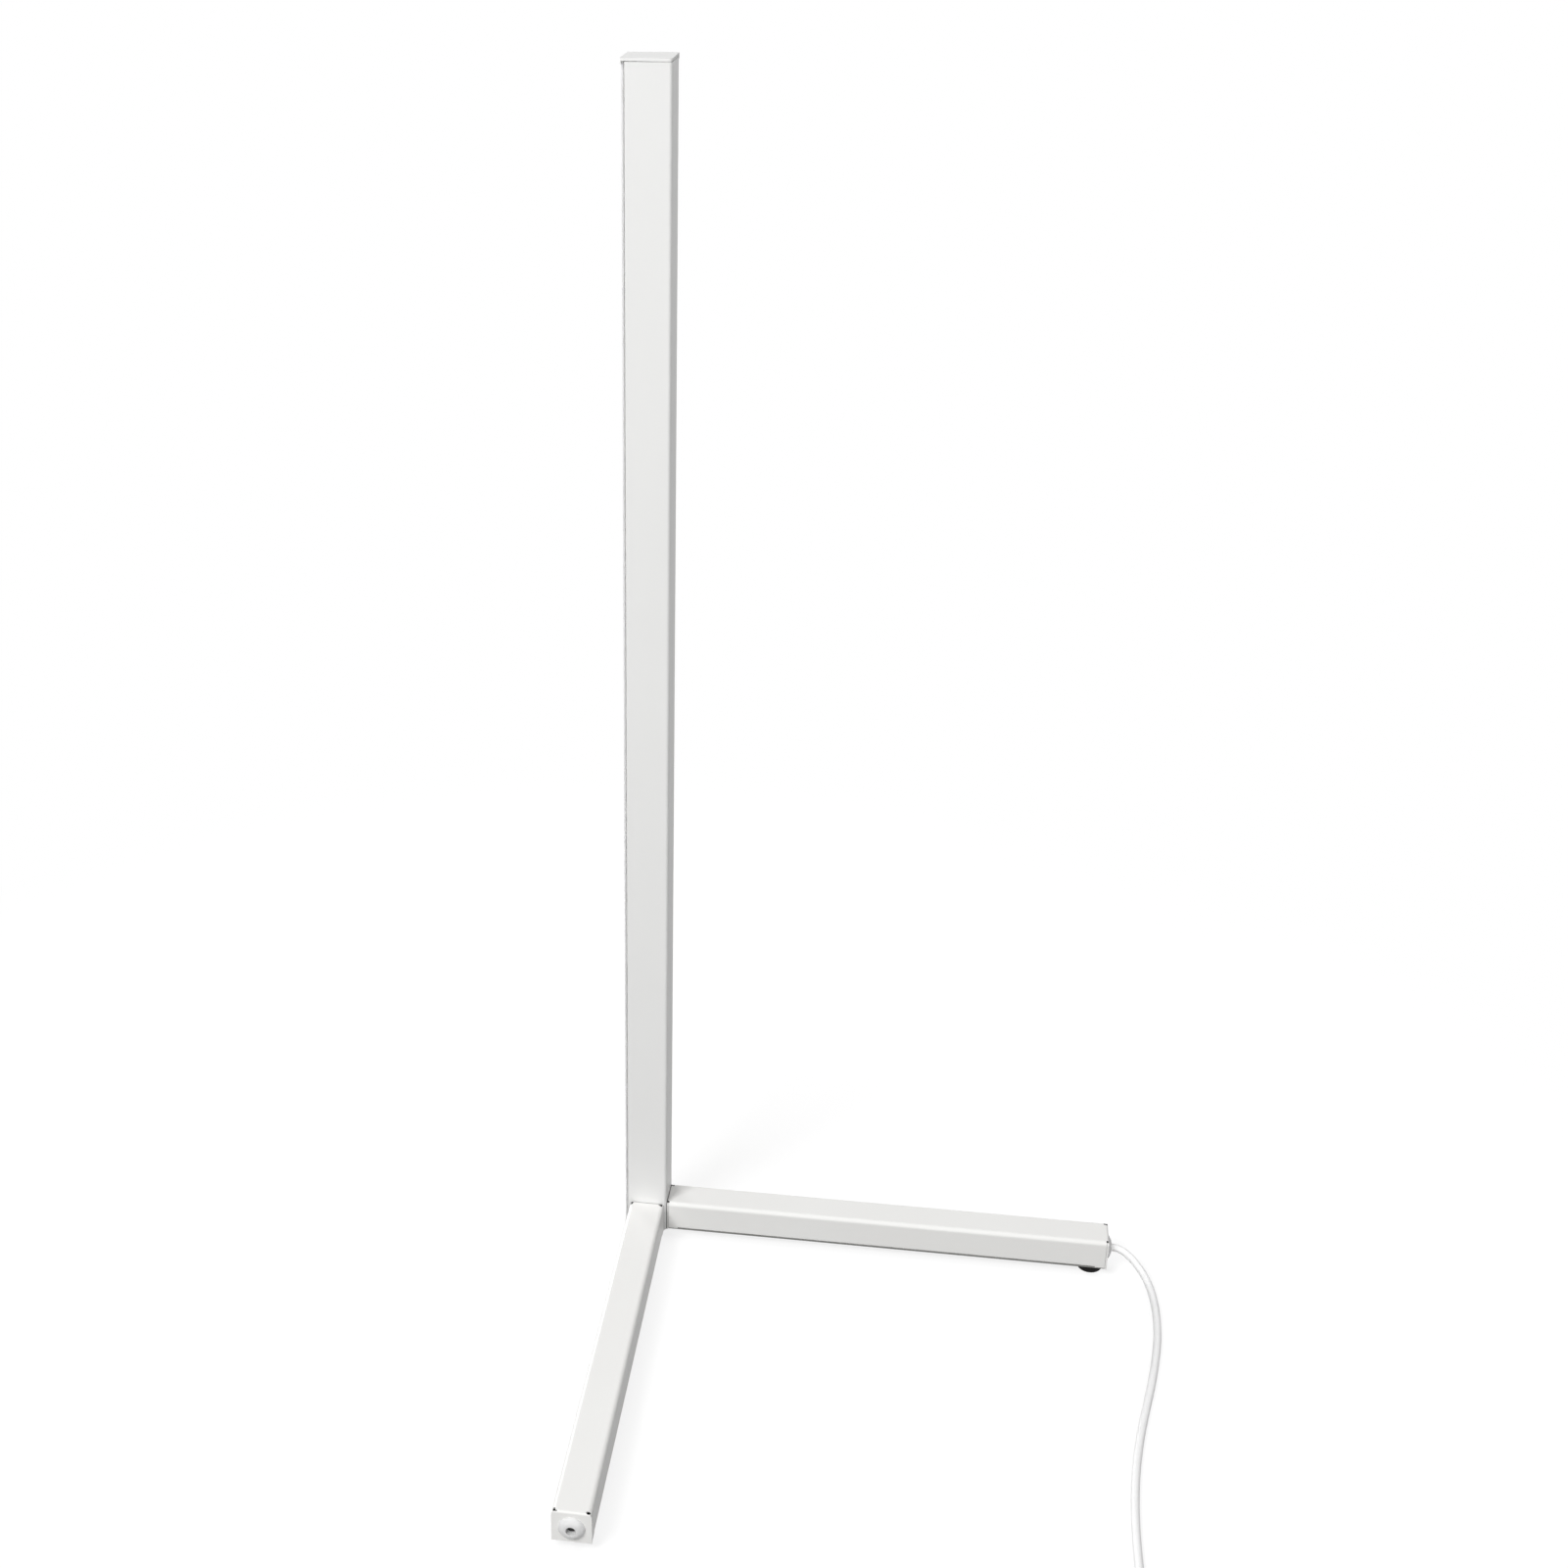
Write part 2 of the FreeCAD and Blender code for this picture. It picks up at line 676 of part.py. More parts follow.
def infrared_receiver():
    """Dark epoxy receiver against the end of the window's neck, its nose inside the bore."""
    back = leg_reach - neck_length
    side = receiver_side / 2
    body = box(back - receiver_depth, -side, dome_axis - side, back, side, dome_axis + side)
    tip = leg_reach + dome_height - window_recess
    nose = cylinder(window_diameter / 2 - clearance, tip - back, V(back, 0, dome_axis), V(1, 0, 0))
    rim = [e for e in nose.Edges if e.isClosed() and abs(e.CenterOfMass.x - tip) < pick_tolerance]
    nose = nose.makeFillet(receiver_nose_edge, rim)
    return body.fuse(nose).removeSplitter()


# ---- Light -------------------------------------------------------------------------

def on_web(shape):
    """Stand a piece modelled on the XZ plane (outward +Y) on the web's LED face."""
    turned = shape.rotated(V(0, 0, 0), UP, 45)
    return turned.translated(diagonal * -web_setback)


def led_strip():
    low = floor_to_leg + strip_start
    high = pole_top - strip_end_gap
    return on_web(box(-strip_width / 2, 0, low, strip_width / 2, strip_thickness, high))


def led_chips():
    """LED packages along the strip, each with a recessed face."""
    low = floor_to_leg + strip_start + chip_pitch
    high = pole_top - strip_end_gap - chip_side
    chips = []
    count = int((high - low) / chip_pitch) + 1
    for i in range(count):
        z = low + i * chip_pitch
        side = chip_side / 2
        front = strip_thickness + chip_height
        chip = box(-side, strip_thickness, z - side, side, front, z + side)
        well = cylinder(chip_well_diameter / 2, chip_well_depth, V(0, front - chip_well_depth, z), V(0, 1, 0))
        chips.append(on_web(chip.cut(well)))
    return Part.makeCompound(chips)


# ---- Electronics -------------------------------------------------------------------

def case_tray(middle, length, width, height, wall):
    """Open tray that stands on the leg's lips."""
    end = length / 2
    side = width / 2
    rim = lip_top + height - wall
    outer = box(middle - end, -side, lip_top, middle + end, side, rim)
    inside = box(middle - end + wall, -side + wall, lip_top + wall, middle + end - wall, side - wall, rim)
    return outer.cut(inside)


def case_lid(middle, length, width, height, wall):
    """Flat lid with a locating step inside the tray."""
    top = lip_top + height
    plate = box(middle - length / 2, -width / 2, top - wall, middle + length / 2, width / 2, top)
    end = length / 2 - wall - clearance
    side = width / 2 - wall - clearance
    inset = box(middle - end, -side, top - 2 * wall, middle + end, side, top - wall)
    return plate.fuse(inset).removeSplitter()


def board(middle, length, width, wall, lift, thickness):
    """Circuit board with four posts that stand on the tray's floor."""
    bottom = lip_top + wall
    end = length / 2 - wall - clearance
    side = width / 2 - wall - clearance
    plate = box(middle - end, -side, bottom + lift, middle + end, side, bottom + lift + thickness)
    posts = []
    for sx in (-1, 1):
        for sy in (-1, 1):
            place = V(middle + sx * (end - 2 * wall), sy * (side - 2 * wall), bottom)
            posts.append(cylinder(wall, lift, place))
    return plate.fuse(posts).removeSplitter()


def standing(x, y, z, length, width, height):
    """Block centred on a place of a board."""
    return box(x - length / 2, y - width / 2, z, x + length / 2, y + width / 2, z + height)


def driver_components():
    """Transformer, capacitors and filter coils standing on the driver's board."""
    z = driver_board_top
    room = lip_top + driver_height - 2 * driver_wall - z - component_gap
    transformer = standing(driver_middle, 0, z, transformer_length, transformer_width, room)
    core = standing(driver_middle, 0, z, transformer_core, transformer_core_width, room * 2 / 3)
    pieces = [transformer.fuse(core).removeSplitter()]
    aside = driver_width / 9
    for share, diameter in ((-0.3, small_capacitor), (-0.19, large_capacitor),
                            (0.19, large_capacitor), (0.3, small_capacitor)):
        place = V(driver_middle + share * driver_length, aside, z)
        pieces.append(cylinder(diameter / 2, room * diameter / large_capacitor, place))
    for share in (-0.37, -0.12, 0.12, 0.37):
        x = driver_middle + share * driver_length
        pieces.append(standing(x, -2.2 * aside, z, filter_length, filter_width, room / 2))
    return Part.makeCompound(pieces)


def controller_components():
    """Microcontroller, three transistors and a capacitor on the controller's board."""
    z = controller_board_top
    room = lip_top + controller_height - 2 * controller_wall - z - component_gap
    pieces = [standing(controller_middle, 0, z, chip_package, chip_package_width, chip_package_height)]
    first = controller_middle - controller_length / 3
    for i in range(3):
        x = first + i * transistor_pitch
        y = -controller_width / 4
        pieces.append(standing(x, y, z, transistor_side, transistor_side, transistor_height))
    place = V(controller_middle + controller_length * 0.28, controller_width / 6, z)
    pieces.append(cylinder(electrolytic / 2, room, place))
    return Part.makeCompound(pieces)


# ---- Leads inside the lamp ---------------------------------------------------------

def mains_inner_lead():
    """Sheathed lead from the gland's neck to the driver."""
    start = leg_reach - neck_length
    end = driver_middle + driver_length / 2
    return cylinder(mains_sheath_diameter / 2, start - end, V(end, 0, dome_axis), V(1, 0, 0))


def low_voltage_lead():
    """From the driver, through the column's foot between block and web, to the controller."""
    start = driver_middle - driver_length / 2
    end = controller_middle - controller_length / 2
    z = slot_bottom + low_voltage_diameter / 2 + lead_slot_margin
    side = lead_slot_offset
    web_line = web_inner                      # x - y at the web's hidden face
    block_line = 2 * (inner - block_side)     # x - y at the block's inner corner
    turn_x = (web_line + block_line) / 2 - side
    route = [(start, -side, z), (turn_x, -side, z), (side, -turn_x, z), (side, -end, z)]
    return lead(route, low_voltage_diameter, "low_voltage_lead")


def strip_lead():
    """From the controller up the column's chamber and through the web to the LED strip."""
    end = controller_middle - controller_length / 2
    z = slot_top - strip_lead_diameter / 2 - lead_slot_margin
    side = lead_slot_offset
    rise = diagonal * -(web_setback + web_wall + 2 * strip_lead_diameter)
    over_block = pole_bottom + block_height + 2.5 * strip_lead_diameter
    route = [
        (side, -end, z),
        (side, -half + 2 * pole_wall, z),
        (rise.x - 1.0, rise.y - 1.5, over_block),
        (rise.x, rise.y, strip_lead_height),
        tuple(diagonal * -web_setback + V(0, 0, strip_lead_height)),
    ]
    return lead(route, strip_lead_diameter, "strip_lead")


def receiver_lead():
    start = controller_middle + controller_length / 2
    end = leg_reach - neck_length - receiver_depth
    sheath = cylinder(receiver_lead_diameter / 2, end - start, V(start, 0, dome_axis), V(1, 0, 0))
    return turned_to_front(sheath)


# ---- Mains lead, its coil and plug -------------------------------------------------

cord_exit = V(leg_reach + dome_height, 0, dome_axis)
coil_entry_x = coil_x + coil_outer_radius

# Out of the gland, down to the floor and towards the viewer, then on to the coil. Heights
# are of the lead's middle: the first six fall from the gland, the rest lie on the floor.
cord_route = [
    tuple(cord_exit),
    (412.4, 0.0, dome_axis),
    (421.0, -3.0, 17.8),
    (429.4, -9.2, 11.8),
    (436.4, -20.0, 6.8),
    (441.0, -37.0, 4.0),
    (443.6, -63.0, cord_radius),
    (442.0, -95.0, cord_radius),
    (438.0, -127.0, cord_radius),
    (432.8, -158.0, cord_radius),
    (426.0, -191.0, cord_radius),
    (419.4, -227.0, cord_radius),
    (414.5, -266.0, cord_radius),
    (412.0, -307.0, cord_radius),
    (411.8, -350.0, cord_radius),
    (413.2, -386.0, coil_floor),
    (coil_entry_x, -412.0, coil_floor),
    (coil_entry_x, coil_y + cord_diameter, coil_floor),
]


def coil_wire():
    """Half turns that spiral in on the floor, climb once at the middle, and spiral out on top."""
    entry = V(coil_entry_x, coil_y, coil_floor)
    edges = [Part.LineSegment(entry + V(0, cord_diameter, 0), entry).toShape()]
    x = coil_entry_x
    radius = coil_outer_radius
    side = -1                                  # first half turn passes on the -Y side
    step = coil_pitch / 2
    total = coil_half_turns_in + 1 + coil_half_turns_out
    z = coil_floor
    for i in range(total):
        end_x = x + side * 2 * radius
        end_z = coil_upper if i >= coil_half_turns_in else coil_floor
        middle = V((x + end_x) / 2, coil_y, (z + end_z) / 2)
        swell = math.hypot(2 * radius, end_z - z) / 2
        arc = Part.Arc(V(x, coil_y, z), middle + V(0, side * swell, 0), V(end_x, coil_y, end_z))
        edges.append(arc.toShape())
        x = end_x
        z = end_z
        side = -side
        radius = radius - step if i < coil_half_turns_in else radius + step
    # last quarter turn, and straight out
    corner = V(x - radius, coil_y - radius, z)
    centre = V(x - radius, coil_y, z)
    bend = centre + V(math.cos(math.radians(-45)), math.sin(math.radians(-45)), 0) * radius
    edges.append(Part.Arc(V(x, coil_y, z), bend, corner).toShape())
    end = corner - V(cord_diameter, 0, 0)
    edges.append(Part.LineSegment(corner, end).toShape())
    return Part.Wire(edges), end


def least_gap(wire, diameter):
    """Smallest distance between the skins of turns, on points along the path."""
    points = wire.discretize(Distance=1.5)
    step = wire.Length / (len(points) - 1)
    apart = int(4 * diameter / step)
    least = 1e9
    for i, first in enumerate(points):
        for second in points[i + apart:]:
            least = min(least, first.distanceToPoint(second))
    return least - diameter


coil_path, coil_end = coil_wire()

# From the coil's upper layer down to the plug that lies beside it.
tail_route = [
    tuple(coil_end),
    (coil_end.x - 16.0, coil_end.y, coil_end.z),
    (coil_end.x - 36.0, coil_end.y - 0.6, plug_axis + 0.9),
    (coil_end.x - 54.0, coil_end.y - 1.0, plug_axis),
    (coil_end.x - 70.0, coil_end.y - 1.0, plug_axis),
]
plug_start = V(*tail_route[-1])


def cord_coil():
    tube = tube_along(coil_path, cord_diameter)
    expected = math.pi * cord_radius ** 2 * coil_path.Length
    print("cord_coil length", round(coil_path.Length, 1), "volume ratio", round(tube.Volume / expected, 5))
    print("cord_coil least gap", round(least_gap(coil_path, cord_diameter), 2))
    return tube


def cord_tie():
    """Flat band round the bundle on the coil's far side from the entry."""
    turns = (coil_half_turns_in + 1) // 2
    outside = coil_x - coil_outer_radius - cord_radius - tie_clearance
    inside = outside + (turns - 1) * coil_pitch + cord_diameter + tie_clearance + tie_slack
    low = tie_thickness
    high = coil_upper + cord_radius + tie_clearance
    outer = box(outside - tie_thickness, -tie_width / 2, 0,
                inside + tie_thickness, tie_width / 2, high + tie_thickness)
    hole = box(outside, -tie_width, low, inside, tie_width, high)
    return outer.cut(hole).translated(V(0, coil_y, 0))


def plug_body():
    """Flat two-pole plug lying on the floor, with a tapered neck round the lead."""
    start = plug_start.x
    grip = cord_radius + plug_grip
    neck = Part.makeCone(grip, plug_neck_diameter / 2, plug_neck_length, plug_start, V(-1, 0, 0))
    shoulder = start - plug_neck_length
    y = plug_start.y
    wide = plug_width / 2
    slim = plug_neck_diameter * 0.8
    full = shoulder - plug_length * plug_taper_share
    face = shoulder - plug_length
    outline = [
        (shoulder, y - slim), (shoulder, y + slim), (full, y + wide),
        (face, y + wide), (face, y - wide), (full, y - wide)]
    body = prism(outline, 0, plug_thickness)
    body = body.makeFillet(plug_corner_radius, upright_edges(body, outline))
    rims = [e for e in body.Edges if abs(e.BoundBox.ZMax - e.BoundBox.ZMin) < pick_tolerance]
    body = body.makeFillet(plug_rim_radius, rims)
    return body.fuse(neck).removeSplitter()


def plug_pins():
    """Two round pins with insulated roots; the sleeves are separate pieces."""
    face = plug_start.x - plug_neck_length - plug_length
    pins = []
    radius = plug_pin_diameter / 2
    bare = plug_pin_length - plug_sleeve_length
    for sign in (-1, 1):
        base = V(face, plug_start.y + sign * plug_pin_spacing / 2, plug_axis)
        root = cylinder(radius - plug_sleeve_wall, plug_sleeve_length, base, V(-1, 0, 0))
        tip = cylinder(radius, bare, base - V(plug_sleeve_length, 0, 0), V(-1, 0, 0))
        end_x = face - plug_pin_length
        rim = [e for e in tip.Edges if e.isClosed() and abs(e.CenterOfMass.x - end_x) < pick_tolerance]
        tip = tip.makeFillet(plug_pin_tip, rim)
        pins.append(root.fuse(tip).removeSplitter())
    return Part.makeCompound(pins)


def plug_sleeves():
    face = plug_start.x - plug_neck_length - plug_length
    sleeves = []
    radius = plug_pin_diameter / 2
    for sign in (-1, 1):
        base = V(face, plug_start.y + sign * plug_pin_spacing / 2, plug_axis)
        ring = cylinder(radius, plug_sleeve_length, base, V(-1, 0, 0))
        core = cylinder(radius - plug_sleeve_wall, plug_sleeve_length, base, V(-1, 0, 0))
        sleeves.append(ring.cut(core))
    return Part.makeCompound(sleeves)


# ---- Everything --------------------------------------------------------------------

def main():
    os.makedirs("parts", exist_ok=True)
    save(pole_profile(), "pole_profile")
    save(pole_diffuser(), "pole_diffuser")
    save(top_cap(), "top_cap")
    save(pole_base_plate(), "pole_base_plate")
    save(corner_block(), "corner_block")
    save(base_plate_screw(), "base_plate_screw")
    save(led_strip(), "led_strip")
    save(led_chips(), "led_chips")
    save(leg_shell(1), "right_leg_shell")
    save(turned_to_front(leg_shell(-1)), "front_leg_shell")
    save(leg_bottom_cover(right_foot_distance), "right_leg_bottom_cover")
    save(turned_to_front(leg_bottom_cover(front_foot_distance)), "front_leg_bottom_cover")
    save(leg_cover_screws(), "right_cover_screws")
    save(turned_to_front(leg_cover_screws()), "front_cover_screws")
    save(right_joint_screws(), "right_joint_screws")
    save(front_joint_screws(), "front_joint_screws")
    for name, place in foot_places().items():
        save(foot(place), name)
    save(foot_studs(), "foot_studs")
    save(cord_gland(), "cord_gland")
    save(neck_nut(), "gland_nut")
    save(turned_to_front(sensor_window()), "sensor_window")
    save(turned_to_front(neck_nut()), "window_nut")
    save(turned_to_front(infrared_receiver()), "infrared_receiver")
    driver = (driver_middle, driver_length, driver_width, driver_height, driver_wall)
    save(case_tray(*driver), "driver_case")
    save(case_lid(*driver), "driver_lid")
    save(board(driver_middle, driver_length, driver_width, driver_wall,
               driver_board_lift, driver_board_thickness), "driver_board")
    save(driver_components(), "driver_components")
    controller = (controller_middle, controller_length, controller_width, controller_height, controller_wall)
    save(turned_to_front(case_tray(*controller)), "controller_case")
    save(turned_to_front(case_lid(*controller)), "controller_lid")
    save(turned_to_front(board(controller_middle, controller_length, controller_width, controller_wall,
                               controller_board_lift, controller_board_thickness)), "controller_board")
    save(turned_to_front(controller_components()), "controller_components")
    save(mains_inner_lead(), "mains_inner_lead")
    save(low_voltage_lead(), "low_voltage_lead")
    save(strip_lead(), "strip_lead")
    save(receiver_lead(), "receiver_lead")
    save(lead(cord_route, cord_diameter, "power_cord"), "power_cord")
    save(cord_coil(), "cord_coil")
    save(cord_tie(), "cord_tie")
    save(lead(tail_route, cord_diameter, "cord_tail"), "cord_tail")
    save(plug_body(), "plug_body")
    save(plug_pins(), "plug_pins")
    save(plug_sleeves(), "plug_pin_sleeves")


main()
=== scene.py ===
# %% [markdown]
# # A corner floor lamp, dressed cell by cell
#
# The lamp is a square column on two slim legs at a right angle. Its two painted sides
# look into the room, and an opal cover on the other two sides sends the light to the
# walls. The construction comes packed, at its real size, and stays as it is. The cells
# below add what the eye judges: the camera, the mains lead as one smooth line, the light
# and the finishes.

# %% Load the construction
import math

import bpy
from mathutils import Matrix, Vector


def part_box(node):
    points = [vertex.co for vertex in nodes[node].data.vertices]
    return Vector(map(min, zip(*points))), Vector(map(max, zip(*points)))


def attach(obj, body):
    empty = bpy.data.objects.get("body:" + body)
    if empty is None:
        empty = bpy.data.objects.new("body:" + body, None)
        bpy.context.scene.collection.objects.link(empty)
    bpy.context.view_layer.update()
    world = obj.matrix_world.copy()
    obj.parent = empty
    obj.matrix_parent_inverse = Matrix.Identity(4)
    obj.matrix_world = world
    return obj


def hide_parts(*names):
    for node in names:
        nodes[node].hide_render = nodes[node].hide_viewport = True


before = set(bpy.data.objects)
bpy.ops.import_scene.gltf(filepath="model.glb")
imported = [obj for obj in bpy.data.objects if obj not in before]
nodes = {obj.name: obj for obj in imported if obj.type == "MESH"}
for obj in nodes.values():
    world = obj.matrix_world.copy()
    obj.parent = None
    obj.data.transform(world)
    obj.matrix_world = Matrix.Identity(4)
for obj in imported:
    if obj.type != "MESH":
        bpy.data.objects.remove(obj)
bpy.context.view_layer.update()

MM = 0.001

# %% [markdown]
# ## Colours as they are read, shaders as they are wired
#
# A colour picked from a screen is an sRGB value, while a shader works in linear light.
# Typing the screen's number straight into a shader would wash it out, so one function
# turns a hex value to linear. A second one adds a node, sets its properties and fills
# its inputs with values or links. All materials below are built with these two.

# %% Two helpers for every material


def linear(hex_value):
    """Linear RGBA of an sRGB hex value such as "F2F2F0"."""
    channels = []
    for i in (0, 2, 4):
        c = int(hex_value[i:i + 2], 16) / 255
        channels.append(c / 12.92 if c <= 0.04045 else ((c + 0.055) / 1.055) ** 2.4)
    return (*channels, 1.0)


def add_node(tree, kind, settings=None, inputs=None):
    """Add one node. An input given a socket is linked to it, any other value is set."""
    node = tree.nodes.new(kind)
    for name, value in (settings or {}).items():
        setattr(node, name, value)
    for name, value in (inputs or {}).items():
        if isinstance(value, bpy.types.NodeSocket):
            tree.links.new(value, node.inputs[name])
        else:
            node.inputs[name].default_value = value
    return node


def empty_tree(owner):
    """Node tree of a material or world, without the nodes it came with."""
    owner.use_nodes = True
    owner.node_tree.nodes.clear()
    return owner.node_tree


print("mid grey 808080 is", round(linear("808080")[0], 3), "in linear light")

# %% [markdown]
# ## The camera that took the picture
#
# With a long lens from far away, upright edges stay nearly parallel in a picture. Here
# they lean a little, which gives the lens and the place away: a normal 50 mm lens, about
# 1.6 m in front of the column and just above its top, that looked down 25 degrees. The
# lens axis doesn't meet the picture in its middle, as after cropping; a shift of the
# sensor says the same without turning the camera.

# %% Camera
PHOTO_SIDE = 1601                     # pixels, square
FOCAL_PIXELS = 2229.2                 # focal length in pixels of that picture
AXIS_PIXEL = (612.6, 798.1)           # where the lens axis meets the picture
SENSOR_WIDTH = 36                     # millimetres
CAMERA_PLACE = Vector((0.2307, -1.6065, 1.1966))   # metres
CAMERA_YAW = math.radians(-9.635)     # to the left of +Y
CAMERA_PITCH = math.radians(24.932)   # down
CAMERA_ROLL = math.radians(-0.527)

forward = Vector((
    math.sin(CAMERA_YAW) * math.cos(CAMERA_PITCH),
    math.cos(CAMERA_YAW) * math.cos(CAMERA_PITCH),
    -math.sin(CAMERA_PITCH),
))
level_right = Vector((math.cos(CAMERA_YAW), -math.sin(CAMERA_YAW), 0))
level_up = level_right.cross(forward)
camera_right = level_right * math.cos(CAMERA_ROLL) + level_up * math.sin(CAMERA_ROLL)
camera_up = level_up * math.cos(CAMERA_ROLL) - level_right * math.sin(CAMERA_ROLL)

lens = bpy.data.cameras.new("lens")
lens.sensor_width = SENSOR_WIDTH
lens.lens = FOCAL_PIXELS / PHOTO_SIDE * SENSOR_WIDTH
lens.shift_x = 0.5 - AXIS_PIXEL[0] / PHOTO_SIDE
lens.shift_y = AXIS_PIXEL[1] / PHOTO_SIDE - 0.5
lens.clip_start = 0.05                # metres
camera = bpy.data.objects.new("camera", lens)
turn = Matrix((camera_right, camera_up, -forward)).transposed()
camera.matrix_world = Matrix.Translation(CAMERA_PLACE) @ turn.to_4x4()
bpy.context.scene.collection.objects.link(camera)
bpy.context.scene.camera = camera
print("lens", round(lens.lens, 1), "mm, shift", round(lens.shift_x, 3), round(lens.shift_y, 3))

# %% [markdown]
# ## The mains lead, 1.8 m of it
#
# A lead is a fixed length of something springy: it leaves its gland straight, sinks to
# the floor under its own weight, and then lies where it was laid. One NURBS curve with
# listed points gives such a line, because the curve never quite reaches its points and
# so has no kinks. What the picture doesn't show is wound into a flat coil just past the
# picture's edge. The coil's turns are more points of the same curve, laid out by a loop:
# in towards the middle on the floor, one climb, and out on top.

# %% Route of the lead, in millimetres
LEAD_DIAMETER = 6.5
LEAD_RADIUS = LEAD_DIAMETER / 2
GLAND_TIP = Vector((406.6, 0, 21.5))
COIL_CENTRE = (367.5, -442.0)         # x and y
COIL_FLOOR = 3.95                     # middle of the lower turns, above the tie's band
TURN_PITCH = 7.0                      # between two turns, side by side or stacked
OUTER_TURN = 46.0                     # radius of the widest turn, at the lead's middle
HALF_TURNS_IN = 5                     # the next one climbs
HALF_TURNS_OUT = 4
POINTS_PER_HALF_TURN = 12

seen_stretch = [
    tuple(GLAND_TIP),
    (412.4, 0, 21.5),
    (421, -3, 17.8),
    (429.4, -9.2, 11.8),
    (436.4, -20, 6.8),
    (441, -37, 4),
    (443, -63, LEAD_RADIUS),
    (442, -95, LEAD_RADIUS),
    (438, -127, LEAD_RADIUS),
    (432.8, -158, LEAD_RADIUS),
    (426, -191, LEAD_RADIUS),
    (419.4, -227, LEAD_RADIUS),
    (414.5, -266, LEAD_RADIUS),
    (412, -307, LEAD_RADIUS),
    (411.8, -350, LEAD_RADIUS),
    (413.2, -386, COIL_FLOOR),
    (413.5, -412, COIL_FLOOR),
]


def coil_points():
    """Points of the coil's half turns; each half turn has its own middle and radius."""
    points = []
    x = COIL_CENTRE[0] + OUTER_TURN
    radius = OUTER_TURN
    side = -1                         # the first half turn passes towards the viewer
    low = COIL_FLOOR
    high = COIL_FLOOR + TURN_PITCH
    step = math.pi / POINTS_PER_HALF_TURN
    swell = 1 / math.cos(step / 2)    # the curve runs inside its points by this much
    for i in range(HALF_TURNS_IN + 1 + HALF_TURNS_OUT):
        middle = x + side * radius
        climb = i == HALF_TURNS_IN
        for j in range(POINTS_PER_HALF_TURN):
            share = (j + 0.5) / POINTS_PER_HALF_TURN
            angle = share * math.pi
            z = low + (high - low) * share if climb else (low if i < HALF_TURNS_IN else high)
            across = -side * radius * swell * math.cos(angle)
            along = side * radius * swell * math.sin(angle)
            points.append((middle + across, COIL_CENTRE[1] + along, z))
        x += side * 2 * radius
        side = -side
        radius += TURN_PITCH / 2 if i >= HALF_TURNS_IN else -TURN_PITCH / 2
    corner = Vector((x - radius, COIL_CENTRE[1] - radius, high))
    for j in range(POINTS_PER_HALF_TURN // 2):
        angle = (j + 0.5) * step
        points.append((
            corner.x + radius * swell * math.cos(angle),
            COIL_CENTRE[1] - radius * swell * math.sin(angle),
            high,
        ))
    return points, corner


turns, coil_exit = coil_points()
PLUG_AXIS = 6.85                      # height of the middle of the plug
tail = [
    (coil_exit.x - 6.5, coil_exit.y, coil_exit.z),
    (coil_exit.x - 22.5, coil_exit.y, coil_exit.z),
    (coil_exit.x - 42.5, coil_exit.y - 0.6, 7.75),
    (coil_exit.x - 60.5, coil_exit.y - 1, PLUG_AXIS),
    (coil_exit.x - 76.5, coil_exit.y - 1, PLUG_AXIS),
]
print(len(seen_stretch), "points to the coil,", len(turns), "in it,", len(tail), "to the plug")

# %% The lead as one smooth curve
lead_points = seen_stretch + turns + tail
lead_curve = bpy.data.curves.new("mains_lead", "CURVE")
lead_curve.dimensions = "3D"
lead_curve.bevel_depth = 1.0          # metres, scaled by each point's own radius
lead_curve.bevel_resolution = 6       # facets round the sheath
lead_curve.resolution_u = 6           # steps between two points
lead_line = lead_curve.splines.new("NURBS")
lead_line.points.add(len(lead_points) - 1)
for target, place in zip(lead_line.points, lead_points):
    target.co = (*(Vector(place) * MM), 1)
    target.radius = LEAD_RADIUS * MM
lead_line.order_u = 3
lead_line.use_endpoint_u = True
mains_lead = bpy.data.objects.new("mains_lead", lead_curve)
bpy.context.scene.collection.objects.link(mains_lead)
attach(mains_lead, "root")
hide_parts("power_cord", "cord_coil", "cord_tail")
print("lead curve", round(lead_line.calc_length(), 3), "m")

# %% [markdown]
# ## A white room with soft light
#
# The picture is a cut-out on pure white. The floor and the world are therefore white to
# the camera and to mirrors, and only there. The light that falls on the lamp has a
# direction: bright straight above, faint from the front, and dark near the horizon
# elsewhere. That dark horizon is what draws the thin grey lines down round edges, and
# keeps the sides that look to +X a good deal darker than the front.

# %% World: white to look at, graded to be lit by


def seen_directly(tree):
    """Socket that is 1 for what the camera, a mirror or a glass sees, else 0."""
    path = add_node(tree, "ShaderNodeLightPath")
    clear = add_node(tree, "ShaderNodeMath", {"operation": "MAXIMUM"}, {
        0: path.outputs["Is Glossy Ray"], 1: path.outputs["Is Transmission Ray"]})
    either = add_node(tree, "ShaderNodeMath", {"operation": "MAXIMUM"}, {
        0: path.outputs["Is Camera Ray"], 1: clear.outputs[0]})
    return either.outputs[0]


